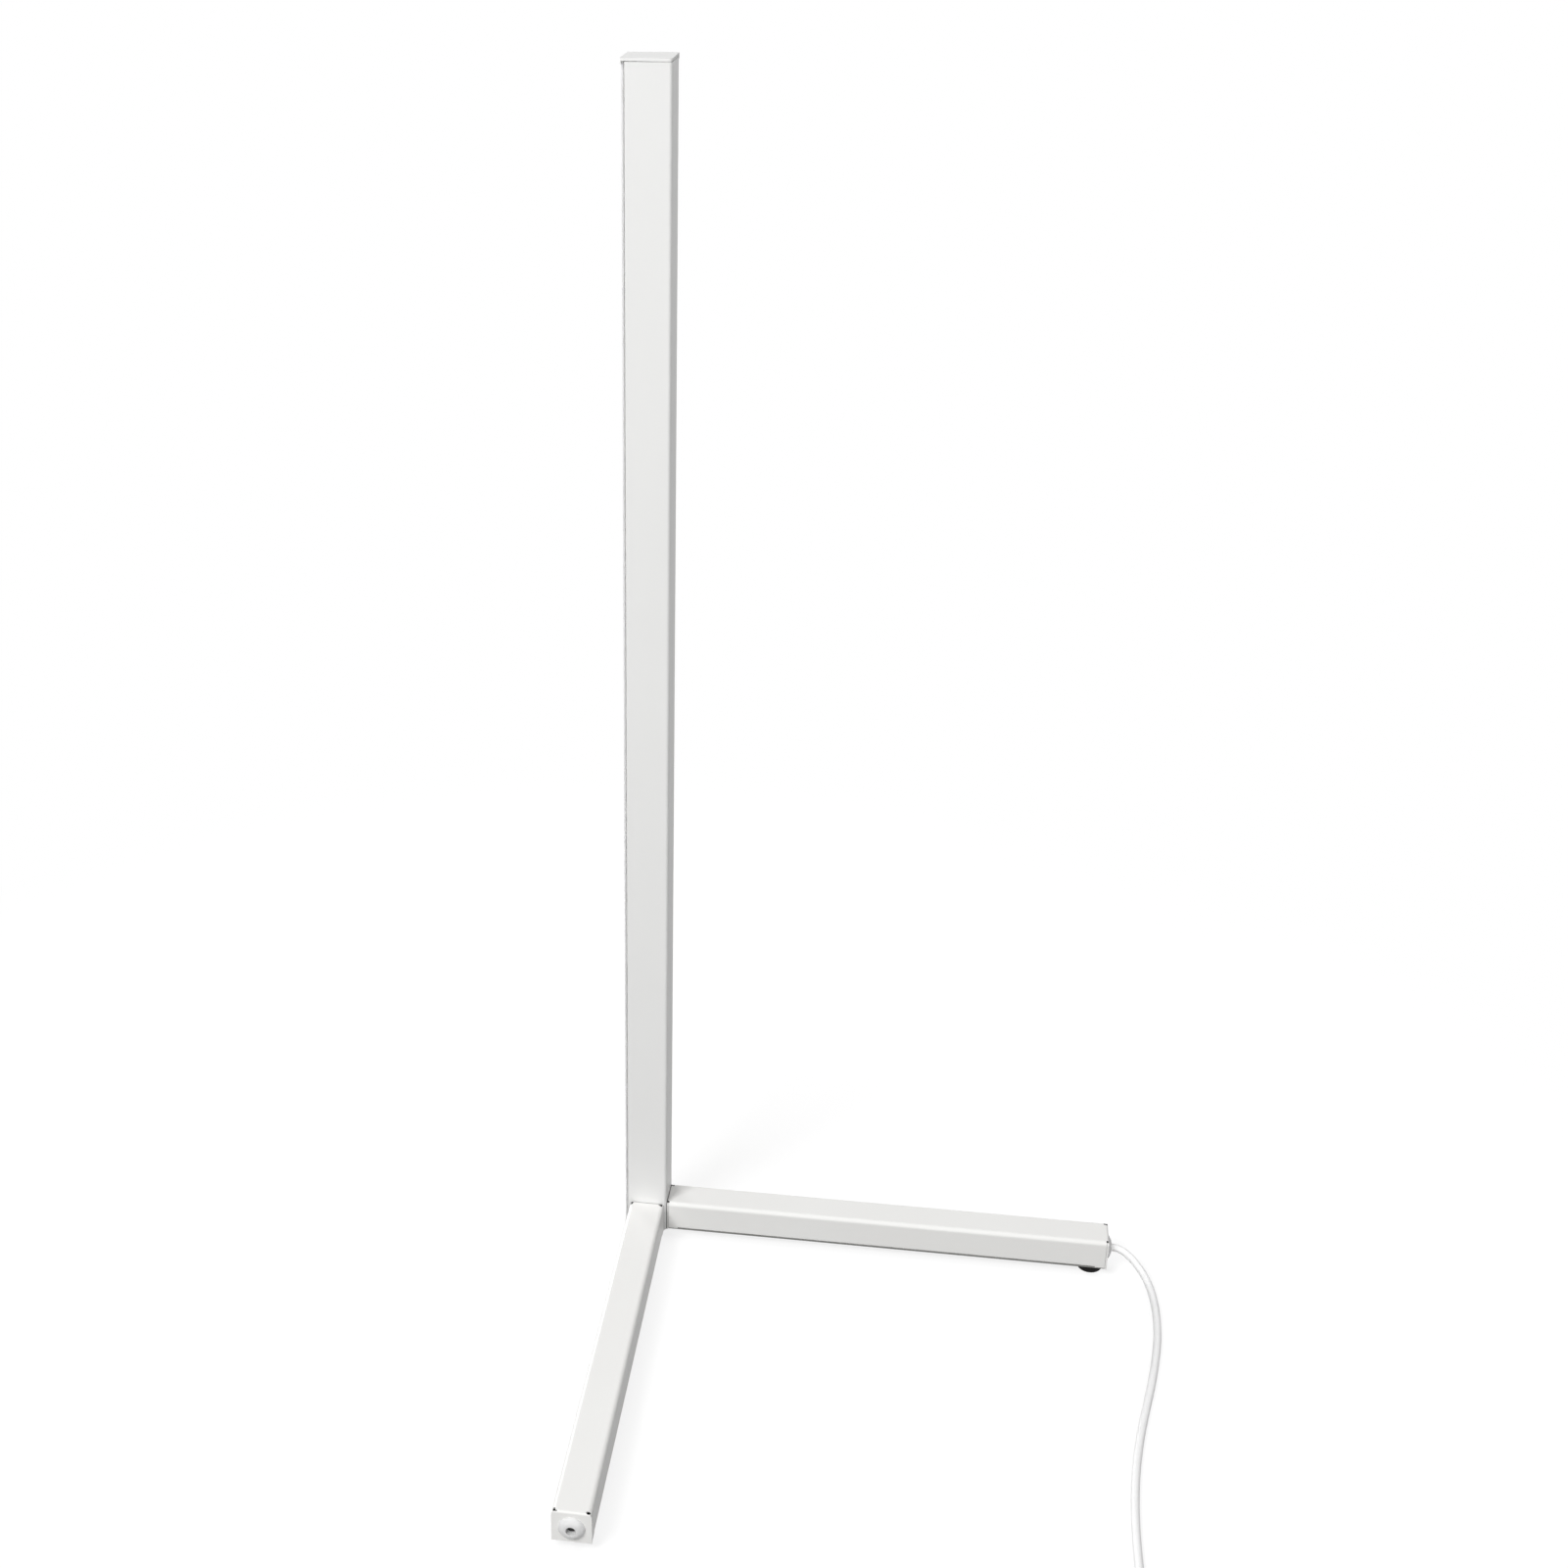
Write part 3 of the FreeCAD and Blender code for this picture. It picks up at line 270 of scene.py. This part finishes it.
OVERHEAD = 0.44                       # radiance straight up
FALL_OFF = 1.5                        # power by which it falls towards the horizon
FRONT = 0.05                          # radiance at the horizon towards the viewer
world = bpy.data.worlds.new("graded_surround")
bpy.context.scene.world = world
tree = empty_tree(world)
towards = add_node(tree, "ShaderNodeTexCoord")
parts = add_node(tree, "ShaderNodeSeparateXYZ", None, {"Vector": towards.outputs["Generated"]})
upward = add_node(tree, "ShaderNodeMath", {"operation": "MAXIMUM"}, {
    0: parts.outputs["Z"], 1: 0.0})
dome = add_node(tree, "ShaderNodeMath", {"operation": "POWER"}, {
    0: upward.outputs[0], 1: FALL_OFF})
dome = add_node(tree, "ShaderNodeMath", {"operation": "MULTIPLY"}, {
    0: dome.outputs[0], 1: OVERHEAD})
ahead = add_node(tree, "ShaderNodeMath", {"operation": "MULTIPLY"}, {
    0: parts.outputs["Y"], 1: -FRONT})
ahead = add_node(tree, "ShaderNodeMath", {"operation": "MAXIMUM"}, {
    0: ahead.outputs[0], 1: 0.0})
sky = add_node(tree, "ShaderNodeMath", {"operation": "ADD"}, {
    0: dome.outputs[0], 1: ahead.outputs[0]})
graded = add_node(tree, "ShaderNodeBackground", None, {
    "Color": linear("FFFFFF"), "Strength": sky.outputs[0]})
white = add_node(tree, "ShaderNodeBackground", None, {
    "Color": linear("FFFFFF"), "Strength": 1.0})
mix = add_node(tree, "ShaderNodeMixShader", None, {
    0: seen_directly(tree), 1: graded.outputs[0], 2: white.outputs[0]})
add_node(tree, "ShaderNodeOutputWorld", None, {"Surface": mix.outputs[0]})
print("surround", OVERHEAD, "above and", FRONT, "ahead")

# %% [markdown]
# ## Paper that keeps a shadow
#
# Seamless white paper lies under the lamp. What the camera sees of it is mostly a white
# glow with a little real paper in it, so that the feet and the lead keep a soft shadow
# to stand on, and further out even that fades to the background's white. What the
# lamp sees of it is a mid grey, darker close by, because light from below would flatten
# every edge near the floor.

# %% Floor
FLOOR_HALF = 6.0                      # metres
SHADOW_UP_TO = 0.55                   # metres from the column that keep their shadow
WHITE_FROM = 1.0                      # metres from the column to the pure white
PAPER_GLOW = 0.8                      # the rest of the white is paper that takes a shadow
floor_mesh = bpy.data.meshes.new("studio_floor")
floor_mesh.from_pydata(
    [(-FLOOR_HALF, -FLOOR_HALF, 0), (FLOOR_HALF, -FLOOR_HALF, 0),
     (FLOOR_HALF, FLOOR_HALF, 0), (-FLOOR_HALF, FLOOR_HALF, 0)], [], [(0, 1, 2, 3)])
studio_floor = bpy.data.objects.new("studio_floor", floor_mesh)
bpy.context.scene.collection.objects.link(studio_floor)

paper = bpy.data.materials.new("seamless_paper")
tree = empty_tree(paper)
place = add_node(tree, "ShaderNodeTexCoord")
away = add_node(tree, "ShaderNodeVectorMath", {"operation": "LENGTH"}, {0: place.outputs["Object"]})
fade = add_node(tree, "ShaderNodeMapRange", {"interpolation_type": "SMOOTHSTEP"}, {
    "Value": away.outputs["Value"],
    "From Min": SHADOW_UP_TO, "From Max": WHITE_FROM, "To Min": 0.0, "To Max": 1.0})
tone = add_node(tree, "ShaderNodeMix", {"data_type": "RGBA"}, {
    "Factor": fade.outputs["Result"], 6: linear("6C6C6B"), 7: linear("9C9C9A")})
bounce = add_node(tree, "ShaderNodeBsdfDiffuse", None, {"Color": tone.outputs[2]})
sheet = add_node(tree, "ShaderNodeBsdfDiffuse", None, {"Color": linear("8C8C8C")})
glow = add_node(tree, "ShaderNodeEmission", None, {
    "Color": linear("FFFFFF"), "Strength": PAPER_GLOW})
lit = add_node(tree, "ShaderNodeAddShader", None, {0: sheet.outputs[0], 1: glow.outputs[0]})
plain = add_node(tree, "ShaderNodeEmission", None, {"Color": linear("FFFFFF"), "Strength": 1.0})
shown = add_node(tree, "ShaderNodeMixShader", None, {
    0: fade.outputs["Result"], 1: lit.outputs[0], 2: plain.outputs[0]})
mix = add_node(tree, "ShaderNodeMixShader", None, {
    0: seen_directly(tree), 1: bounce.outputs[0], 2: shown.outputs[0]})
add_node(tree, "ShaderNodeOutputMaterial", None, {"Surface": mix.outputs[0]})
floor_mesh.materials.append(paper)
print("a floor of", 2 * FLOOR_HALF, "m")

# %% [markdown]
# ## Four soft boxes
#
# A soft box is a lamp behind a square of cloth. The larger it is, the softer the edge of
# its shadow. Area lamps are just that, so four of them do most of the work: a high key
# at the left, a far fill in front, a weak one at the right, and one low behind the lamp.
# The last keeps the opal cover light grey when it is seen from behind, where it would be
# dark, and stands too low to reach the tops of the legs.

# %% Soft boxes


def soft_box(name, place, target, size, power):
    """Square area lamp at place, facing target, hidden from the camera."""
    lamp = bpy.data.lights.new(name, "AREA")
    lamp.size = size
    lamp.energy = power
    holder = bpy.data.objects.new(name, lamp)
    holder.location = place
    holder.rotation_mode = "QUATERNION"
    holder.rotation_quaternion = (Vector(target) - Vector(place)).to_track_quat("-Z", "Y")
    holder.visible_camera = False
    bpy.context.scene.collection.objects.link(holder)


LAMP_MIDDLE = (0.1, -0.1, 0.4)        # metres, where all of them point
SOFT_BOXES = (                        # name, place and side in metres, power in watts
    ("key", (-1.8, -3.2, 4.0), 1.8, 170),
    ("fill", (0.2, -5.5, 1.2), 1.2, 86),
    ("side", (2.2, 0.0, 2.4), 1.0, 17),
    ("back", (-1.8, 2.4, 0.38), 0.7, 62),
)
for box_name, box_place, box_size, box_power in SOFT_BOXES:
    soft_box(box_name, box_place, LAMP_MIDDLE, box_size, box_power)
print(len(SOFT_BOXES), "soft boxes")

# %% [markdown]
# ## Powder coat: the white of the column and the legs
#
# Both are metal, but what is seen is paint. Polyester powder is sprayed on dry and melts
# to a skin a tenth of a millimetre thick. It is smooth and satin, and it never levels
# fully: a faint "orange peel" stays, with bumps about a millimetre apart. From the
# camera's distance a millimetre is about one pixel, so the peel is drawn about three
# millimetres wide, as coarse as it needs to be to soften the highlights. A new lamp
# shows no wear, only a slow drift of the tint along a piece. A leg's inside, the walls of
# the relief holes at its corners and a thin strip at its end against the column get a
# dark grey as painted shade, so the holes read as dark dots and the joint as a dark
# seam. The legs' bottom covers get a mid grey as painted shade, seen only as a thin
# dark line along each leg's bottom.

# %% Powder-coated metal
PEEL_WIDTH = 3 * MM
PEEL_HEIGHT = 0.05 * MM
TINT_DRIFT = 90 * MM                  # size of the soft patches of tint
PAINT_GLOSS_SPREAD = 0.03             # how far the roughness goes up and down
PAINT_SPECULAR = 0.15                 # low, or a side seen at a slant mirrors the white room
# Dark grey, painted shade inside the legs, on their relief holes' walls and at the joint
PAINTED_SHADE = "2E2E2D"


def inside_of(tree, place, low, high):
    """Socket that is 1 where place lies between two corners, in metres, else 0."""
    middle = (low + high) / 2
    reach = (high - low) / 2
    shifted = add_node(tree, "ShaderNodeVectorMath", {"operation": "SUBTRACT"}, {
        0: place, 1: middle})
    apart = add_node(tree, "ShaderNodeVectorMath", {"operation": "ABSOLUTE"}, {
        0: shifted.outputs[0]})
    share = add_node(tree, "ShaderNodeVectorMath", {"operation": "DIVIDE"}, {
        0: apart.outputs[0], 1: reach})
    axes = add_node(tree, "ShaderNodeSeparateXYZ", None, {"Vector": share.outputs[0]})
    most = add_node(tree, "ShaderNodeMath", {"operation": "MAXIMUM"}, {
        0: axes.outputs["X"], 1: axes.outputs["Y"]})
    most = add_node(tree, "ShaderNodeMath", {"operation": "MAXIMUM"}, {
        0: most.outputs[0], 1: axes.outputs["Z"]})
    inside = add_node(tree, "ShaderNodeMath", {"operation": "LESS_THAN"}, {
        0: most.outputs[0], 1: 1.0})
    return inside.outputs[0]


def powder_coat(name, dark, light, roughness, shade_spaces=()):
    """Polyester powder coat, melted to a satin skin with a faint orange peel.

    Sheet inside any of the given boxes, each a pair of corners, gets the dark grey of painted
    shade.
    """
    material = bpy.data.materials.new(name)
    tree = empty_tree(material)
    place = add_node(tree, "ShaderNodeTexCoord").outputs["Object"]
    peel = add_node(tree, "ShaderNodeTexNoise", None, {
        "Vector": place, "Scale": 1 / PEEL_WIDTH, "Detail": 2.0, "Roughness": 0.5})
    drift = add_node(tree, "ShaderNodeTexNoise", None, {
        "Vector": place, "Scale": 1 / TINT_DRIFT, "Detail": 1.0})
    tint = add_node(tree, "ShaderNodeMix", {"data_type": "RGBA"}, {
        "Factor": drift.outputs["Fac"], 6: linear(dark), 7: linear(light)})
    # Painted shade: dark grey inside each of the given boxes
    for corners in shade_spaces:
        tint = add_node(tree, "ShaderNodeMix", {"data_type": "RGBA"}, {
            "Factor": inside_of(tree, place, *corners),
            6: tint.outputs[2], 7: linear(PAINTED_SHADE)})
    gloss = add_node(tree, "ShaderNodeMapRange", None, {
        "Value": peel.outputs["Fac"],
        "To Min": roughness - PAINT_GLOSS_SPREAD, "To Max": roughness + PAINT_GLOSS_SPREAD})
    bump = add_node(tree, "ShaderNodeBump", None, {
        "Height": peel.outputs["Fac"], "Strength": 0.12, "Distance": PEEL_HEIGHT})
    skin = add_node(tree, "ShaderNodeBsdfPrincipled", None, {
        "Base Color": tint.outputs[2], "Roughness": gloss.outputs["Result"],
        "Normal": bump.outputs["Normal"], "IOR": 1.5,
        "Specular IOR Level": PAINT_SPECULAR})
    add_node(tree, "ShaderNodeOutputMaterial", None, {"Surface": skin.outputs[0]})
    return material


JOINT_SHADE_WIDTH = 0.55 * MM                # strip at a leg's end with painted shade, for the dark seam at the column
SHADE_INSET = 1.25 * MM               # depth under the outer faces where a leg's painted shade inside begins
RELIEF_RIM = 0.5 * MM                 # sheet between a relief hole and the end face
HOLE_SHADE_START = 0.1 * MM                   # depth under the top where a relief hole's painted shade begins
RELIEFS = {                           # from the side wall to the axis, and diameter
    "wall side": (2.8 * MM, 3.2 * MM),
    "room side": (2.4 * MM, 1.8 * MM),
}


def relief_spaces(low, high, along, across, room_side):
    """Corners of a box of painted shade round each of a leg's four relief holes, just below the
    top.
    """
    spaces = []
    for end, inward in ((low[along], 1), (high[along], -1)):
        for wall, side in ((low[across], -1), (high[across], 1)):
            distance, diameter = RELIEFS["room side" if side == room_side else "wall side"]
            centre = Vector(low)
            centre[along] = end + inward * (RELIEF_RIM + diameter / 2)
            centre[across] = wall - side * distance
            reach = Vector((diameter / 2, diameter / 2, 0))
            top = Vector((0, 0, high.z - low.z - HOLE_SHADE_START))
            spaces.append((centre - reach, centre + reach + top))
    return spaces


def shade_spaces(node, along, joint_side, room_side):
    """Where a leg's sheet gets painted shade: in its channel and relief holes, and at the column.

    along is the leg's axis, 0 for X or 1 for Y. A side is -1 for low and 1 for high:
    joint_side on that axis, room_side on the one across.
    """
    low, high = (Vector(corner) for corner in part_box(node))
    sheet = Vector((1, 1, 1)) * SHADE_INSET
    inside = (low + Vector((sheet.x, sheet.y, -sheet.z)), high - sheet)
    butt_low, butt_high = low - sheet, high + sheet
    if joint_side < 0:
        butt_high[along] = low[along] + JOINT_SHADE_WIDTH
    else:
        butt_low[along] = high[along] - JOINT_SHADE_WIDTH
    return [inside, (butt_low, butt_high)] + relief_spaces(low, high, along, 1 - along, room_side)


powder_coated_aluminium = powder_coat("powder_coated_aluminium", "ECECEB", "EFEFEE", 0.38)
LEG_SIDES = {
    "right_leg_shell": {"along": 0, "joint_side": -1, "room_side": -1},
    "front_leg_shell": {"along": 1, "joint_side": 1, "room_side": 1},
}
# Each leg has its own copy, with its own boxes of painted shade
powder_coated_steel = {
    node: powder_coat("powder_coated_steel_" + node, "F0EFED", "F3F3F1", 0.36,
                      shade_spaces(node, **sides))
    for node, sides in LEG_SIDES.items()}
# Mid grey as painted shade: the covers' thin edges draw the dark line along each leg's bottom
cover_shade_coat = powder_coat("dark_powder_coated_steel", "858583", "8D8D8A", 0.46)
print("powder coats: column, two legs, their covers")

# %% [markdown]
# ## Opal polycarbonate: the cover
#
# The cover is extruded from clear plastic filled with fine white particles. Light goes
# in, is scattered, and comes out everywhere, which hides the single LEDs. Part of the
# light is let through by transmission and part comes back from just under the skin, so
# the finish is a soft, milky white. The die leaves faint lines along its length.

# %% Opal cover
DIE_LINE_WIDTH = 1.5 * MM
DIE_LINE_LENGTH = 400 * MM
DIE_LINE_DEPTH = 0.03 * MM
SCATTER_REACH = (5 * MM, 5 * MM, 4.8 * MM)   # of red, green and blue light
opal_polycarbonate = bpy.data.materials.new("extruded_opal_polycarbonate")
tree = empty_tree(opal_polycarbonate)
place = add_node(tree, "ShaderNodeTexCoord")
along = add_node(tree, "ShaderNodeMapping", None, {
    "Vector": place.outputs["Object"],
    "Scale": (1 / DIE_LINE_WIDTH, 1 / DIE_LINE_WIDTH, 1 / DIE_LINE_LENGTH)})
lines = add_node(tree, "ShaderNodeTexNoise", None, {
    "Vector": along.outputs[0], "Scale": 1.0, "Detail": 1.0})
bump = add_node(tree, "ShaderNodeBump", None, {
    "Height": lines.outputs["Fac"], "Strength": 0.1, "Distance": DIE_LINE_DEPTH})
milk = add_node(tree, "ShaderNodeMix", {"data_type": "RGBA"}, {
    "Factor": lines.outputs["Fac"], 6: linear("FAFAF8"), 7: linear("FFFFFE")})
skin = add_node(tree, "ShaderNodeBsdfPrincipled", None, {
    "Base Color": milk.outputs[2], "Roughness": 0.36, "IOR": 1.58,
    "Transmission Weight": 0.12, "Subsurface Weight": 1.0,
    "Subsurface Radius": SCATTER_REACH, "Subsurface Scale": 1.0,
    "Normal": bump.outputs["Normal"]})
add_node(tree, "ShaderNodeOutputMaterial", None, {"Surface": skin.outputs[0]})
print("opal cover", opal_polycarbonate.name)

# %% [markdown]
# ## Moulded and extruded plastics and rubber
#
# The small parts differ in how their moulds were finished. The nylon domes come from a
# polished mould and shine softly; the plug's mould was spark-eroded, which leaves a fine
# even grain; the sheath of the lead is extruded, with a slight ripple; the rubber feet
# and the matt ABS cap are dull. Inside, the cases are plain ABS, the receiver is dark
# epoxy with a wet gloss, and the chips are black and matt. One function takes the
# grain's real size, its depth and the gloss, and each material is made with its own.

# %% Moulded plastics, sheath and rubber
GRAIN_GLOSS_SPREAD = 0.05


def grained(name, dark, light, roughness, grain_mm, depth_mm,
            ior=1.5, subsurface=0.0, specular=0.5):
    """Plastic, rubber or resin with an even grain of the given size and depth."""
    material = bpy.data.materials.new(name)
    tree = empty_tree(material)
    place = add_node(tree, "ShaderNodeTexCoord")
    grain = add_node(tree, "ShaderNodeTexNoise", None, {
        "Vector": place.outputs["Object"], "Scale": 1 / (grain_mm * MM), "Detail": 3.0})
    tint = add_node(tree, "ShaderNodeMix", {"data_type": "RGBA"}, {
        "Factor": grain.outputs["Fac"], 6: linear(dark), 7: linear(light)})
    gloss = add_node(tree, "ShaderNodeMapRange", None, {
        "Value": grain.outputs["Fac"],
        "To Min": roughness - GRAIN_GLOSS_SPREAD, "To Max": roughness + GRAIN_GLOSS_SPREAD})
    bump = add_node(tree, "ShaderNodeBump", None, {
        "Height": grain.outputs["Fac"], "Strength": 0.5, "Distance": depth_mm * MM})
    skin = add_node(tree, "ShaderNodeBsdfPrincipled", None, {
        "Base Color": tint.outputs[2], "Roughness": gloss.outputs["Result"], "IOR": ior,
        "Specular IOR Level": specular,
        "Subsurface Weight": subsurface, "Subsurface Radius": (MM, MM, MM),
        "Subsurface Scale": 1.0, "Normal": bump.outputs["Normal"]})
    add_node(tree, "ShaderNodeOutputMaterial", None, {"Surface": skin.outputs[0]})
    return material


moulded_nylon = grained(
    "moulded_nylon", "E2E2E2", "E8E8E8",
    roughness=0.46, grain_mm=2.0, depth_mm=0.01, ior=1.53, subsurface=0.3, specular=0.2)
matt_abs = grained(
    "matt_moulded_abs", "F0F0EF", "F4F4F3",
    roughness=0.6, grain_mm=0.7, depth_mm=0.02, ior=1.53, specular=0.15)
extruded_pvc = grained(
    "extruded_pvc_sheath", "FAFAFA", "FEFEFE",
    roughness=0.4, grain_mm=3.0, depth_mm=0.02, ior=1.52, subsurface=0.2)
spark_eroded_pvc = grained(
    "spark_eroded_pvc_plug", "ECECEA", "F2F2F0",
    roughness=0.48, grain_mm=0.6, depth_mm=0.03, ior=1.52, subsurface=0.1)
moulded_rubber = grained(
    "moulded_black_rubber", "080808", "121211",
    roughness=0.7, grain_mm=0.8, depth_mm=0.04, ior=1.52, specular=0.15)
moulded_abs = grained(
    "moulded_abs_case", "E2E2DE", "E9E9E5",
    roughness=0.45, grain_mm=0.7, depth_mm=0.03, ior=1.53)
black_nylon = grained(
    "moulded_black_nylon", "101010", "181818",
    roughness=0.4, grain_mm=0.8, depth_mm=0.02, ior=1.53)
dark_epoxy = grained(
    "cast_infrared_epoxy", "070709", "0C0C10",
    roughness=0.12, grain_mm=1.5, depth_mm=0.005, ior=1.55)
black_packages = grained(
    "moulded_black_packages", "1A1A1A", "242424",
    roughness=0.5, grain_mm=0.5, depth_mm=0.02, ior=1.55)
plastics = (moulded_nylon, matt_abs, extruded_pvc, spark_eroded_pvc, moulded_rubber,
            moulded_abs, black_nylon, dark_epoxy, black_packages)
print("plastics and rubber:", ", ".join(material.name for material in plastics))

# %% [markdown]
# ## Bare metal, the circuit and the LEDs
#
# Screws and studs are zinc plated, the plug's pins are nickel-plated brass, and the block
# in the column's foot is plain milled aluminium. Metal takes its colour from what it
# reflects, so the base colour only tints that, and the tool's or the plating's marks
# show in the roughness. The LED packages are filled with phosphor, which is pale yellow
# while the lamp is off, and sit on a strip of white film. The boards are glass fibre
# under green lacquer, drawn as a fine even mottle, and none of these is seen from outside.

# %% Metals, circuit and LEDs
METAL_GLOSS_SPREAD = 0.08


def plated(name, dark, light, roughness, mark_mm):
    """Metal with fine uneven marks of plating or milling."""
    material = bpy.data.materials.new(name)
    tree = empty_tree(material)
    place = add_node(tree, "ShaderNodeTexCoord")
    marks = add_node(tree, "ShaderNodeTexNoise", None, {
        "Vector": place.outputs["Object"], "Scale": 1 / (mark_mm * MM), "Detail": 4.0})
    tint = add_node(tree, "ShaderNodeMix", {"data_type": "RGBA"}, {
        "Factor": marks.outputs["Fac"], 6: linear(dark), 7: linear(light)})
    gloss = add_node(tree, "ShaderNodeMapRange", None, {
        "Value": marks.outputs["Fac"],
        "To Min": roughness - METAL_GLOSS_SPREAD, "To Max": roughness + METAL_GLOSS_SPREAD})
    skin = add_node(tree, "ShaderNodeBsdfPrincipled", None, {
        "Base Color": tint.outputs[2], "Roughness": gloss.outputs["Result"], "Metallic": 1.0})
    add_node(tree, "ShaderNodeOutputMaterial", None, {"Surface": skin.outputs[0]})
    return material


zinc_plated_steel = plated(
    "zinc_plated_steel", "A9A9A4", "C6C6C2", roughness=0.32, mark_mm=1.2)
nickel_plated_brass = plated(
    "nickel_plated_brass", "C2BEB6", "D8D5CE", roughness=0.2, mark_mm=2.5)
milled_aluminium = plated(
    "milled_aluminium", "BDBEC0", "D2D3D4", roughness=0.38, mark_mm=0.8)
strip_film = grained(
    "white_polyimide_film", "EDEDE8", "F3F3EE", roughness=0.5, grain_mm=1.0, depth_mm=0.01)
led_phosphor = grained(
    "phosphor_filled_package", "EFE7B4", "F6F0C6", roughness=0.4, grain_mm=0.8, depth_mm=0.02)
glass_fibre_board = grained(
    "woven_glass_fibre_board", "1B5A34", "226B3F",
    roughness=0.42, grain_mm=0.5, depth_mm=0.02, ior=1.55)
metals = (zinc_plated_steel, nickel_plated_brass, milled_aluminium)
circuit = (strip_film, led_phosphor, glass_fibre_board)
print("metals:", ", ".join(material.name for material in metals))
print("circuit:", ", ".join(material.name for material in circuit))

# %% [markdown]
# ## Finishes on the construction
#
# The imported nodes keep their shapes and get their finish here, in one table from
# material to nodes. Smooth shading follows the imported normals, so nothing is changed in
# the meshes themselves.

# %% Give every node its finish
FINISHES = (
    (powder_coated_aluminium, ("pole_profile", "pole_base_plate")),
    (powder_coated_steel["right_leg_shell"], ("right_leg_shell",)),
    (powder_coated_steel["front_leg_shell"], ("front_leg_shell",)),
    (cover_shade_coat, ("right_leg_bottom_cover", "front_leg_bottom_cover")),
    (matt_abs, ("top_cap",)),
    (opal_polycarbonate, ("pole_diffuser",)),
    (moulded_nylon, ("cord_gland", "gland_nut", "sensor_window", "window_nut")),
    (moulded_rubber, ("corner_foot", "right_foot", "front_foot")),
    (zinc_plated_steel, ("base_plate_screw", "right_cover_screws", "front_cover_screws",
                         "right_joint_screws", "front_joint_screws", "foot_studs")),
    (milled_aluminium, ("corner_block",)),
    (dark_epoxy, ("infrared_receiver",)),
    (strip_film, ("led_strip",)),
    (led_phosphor, ("led_chips",)),
    (moulded_abs, ("driver_case", "driver_lid", "controller_case", "controller_lid")),
    (glass_fibre_board, ("driver_board", "controller_board")),
    (black_packages, ("driver_components", "controller_components")),
    (extruded_pvc, ("mains_inner_lead", "low_voltage_lead", "strip_lead", "receiver_lead",
                    "power_cord", "cord_coil", "cord_tail")),
    (spark_eroded_pvc, ("plug_body", "cord_tie")),
    (nickel_plated_brass, ("plug_pins",)),
    (black_nylon, ("plug_pin_sleeves",)),
)
finished = []
for material, names in FINISHES:
    for name in names:
        nodes[name].data.materials.clear()
        nodes[name].data.materials.append(material)
        finished.append(name)
lead_curve.materials.append(extruded_pvc)
print("finished", len(finished), "nodes; left over:", sorted(set(nodes) - set(finished)))

# %% [markdown]
# ## The end
#
# The colours are shown as they are, with no film look over them.

print("declared", mains_lead.name)

# %% Show the colours as they are
scene = bpy.context.scene
scene.view_settings.view_transform = "Standard"
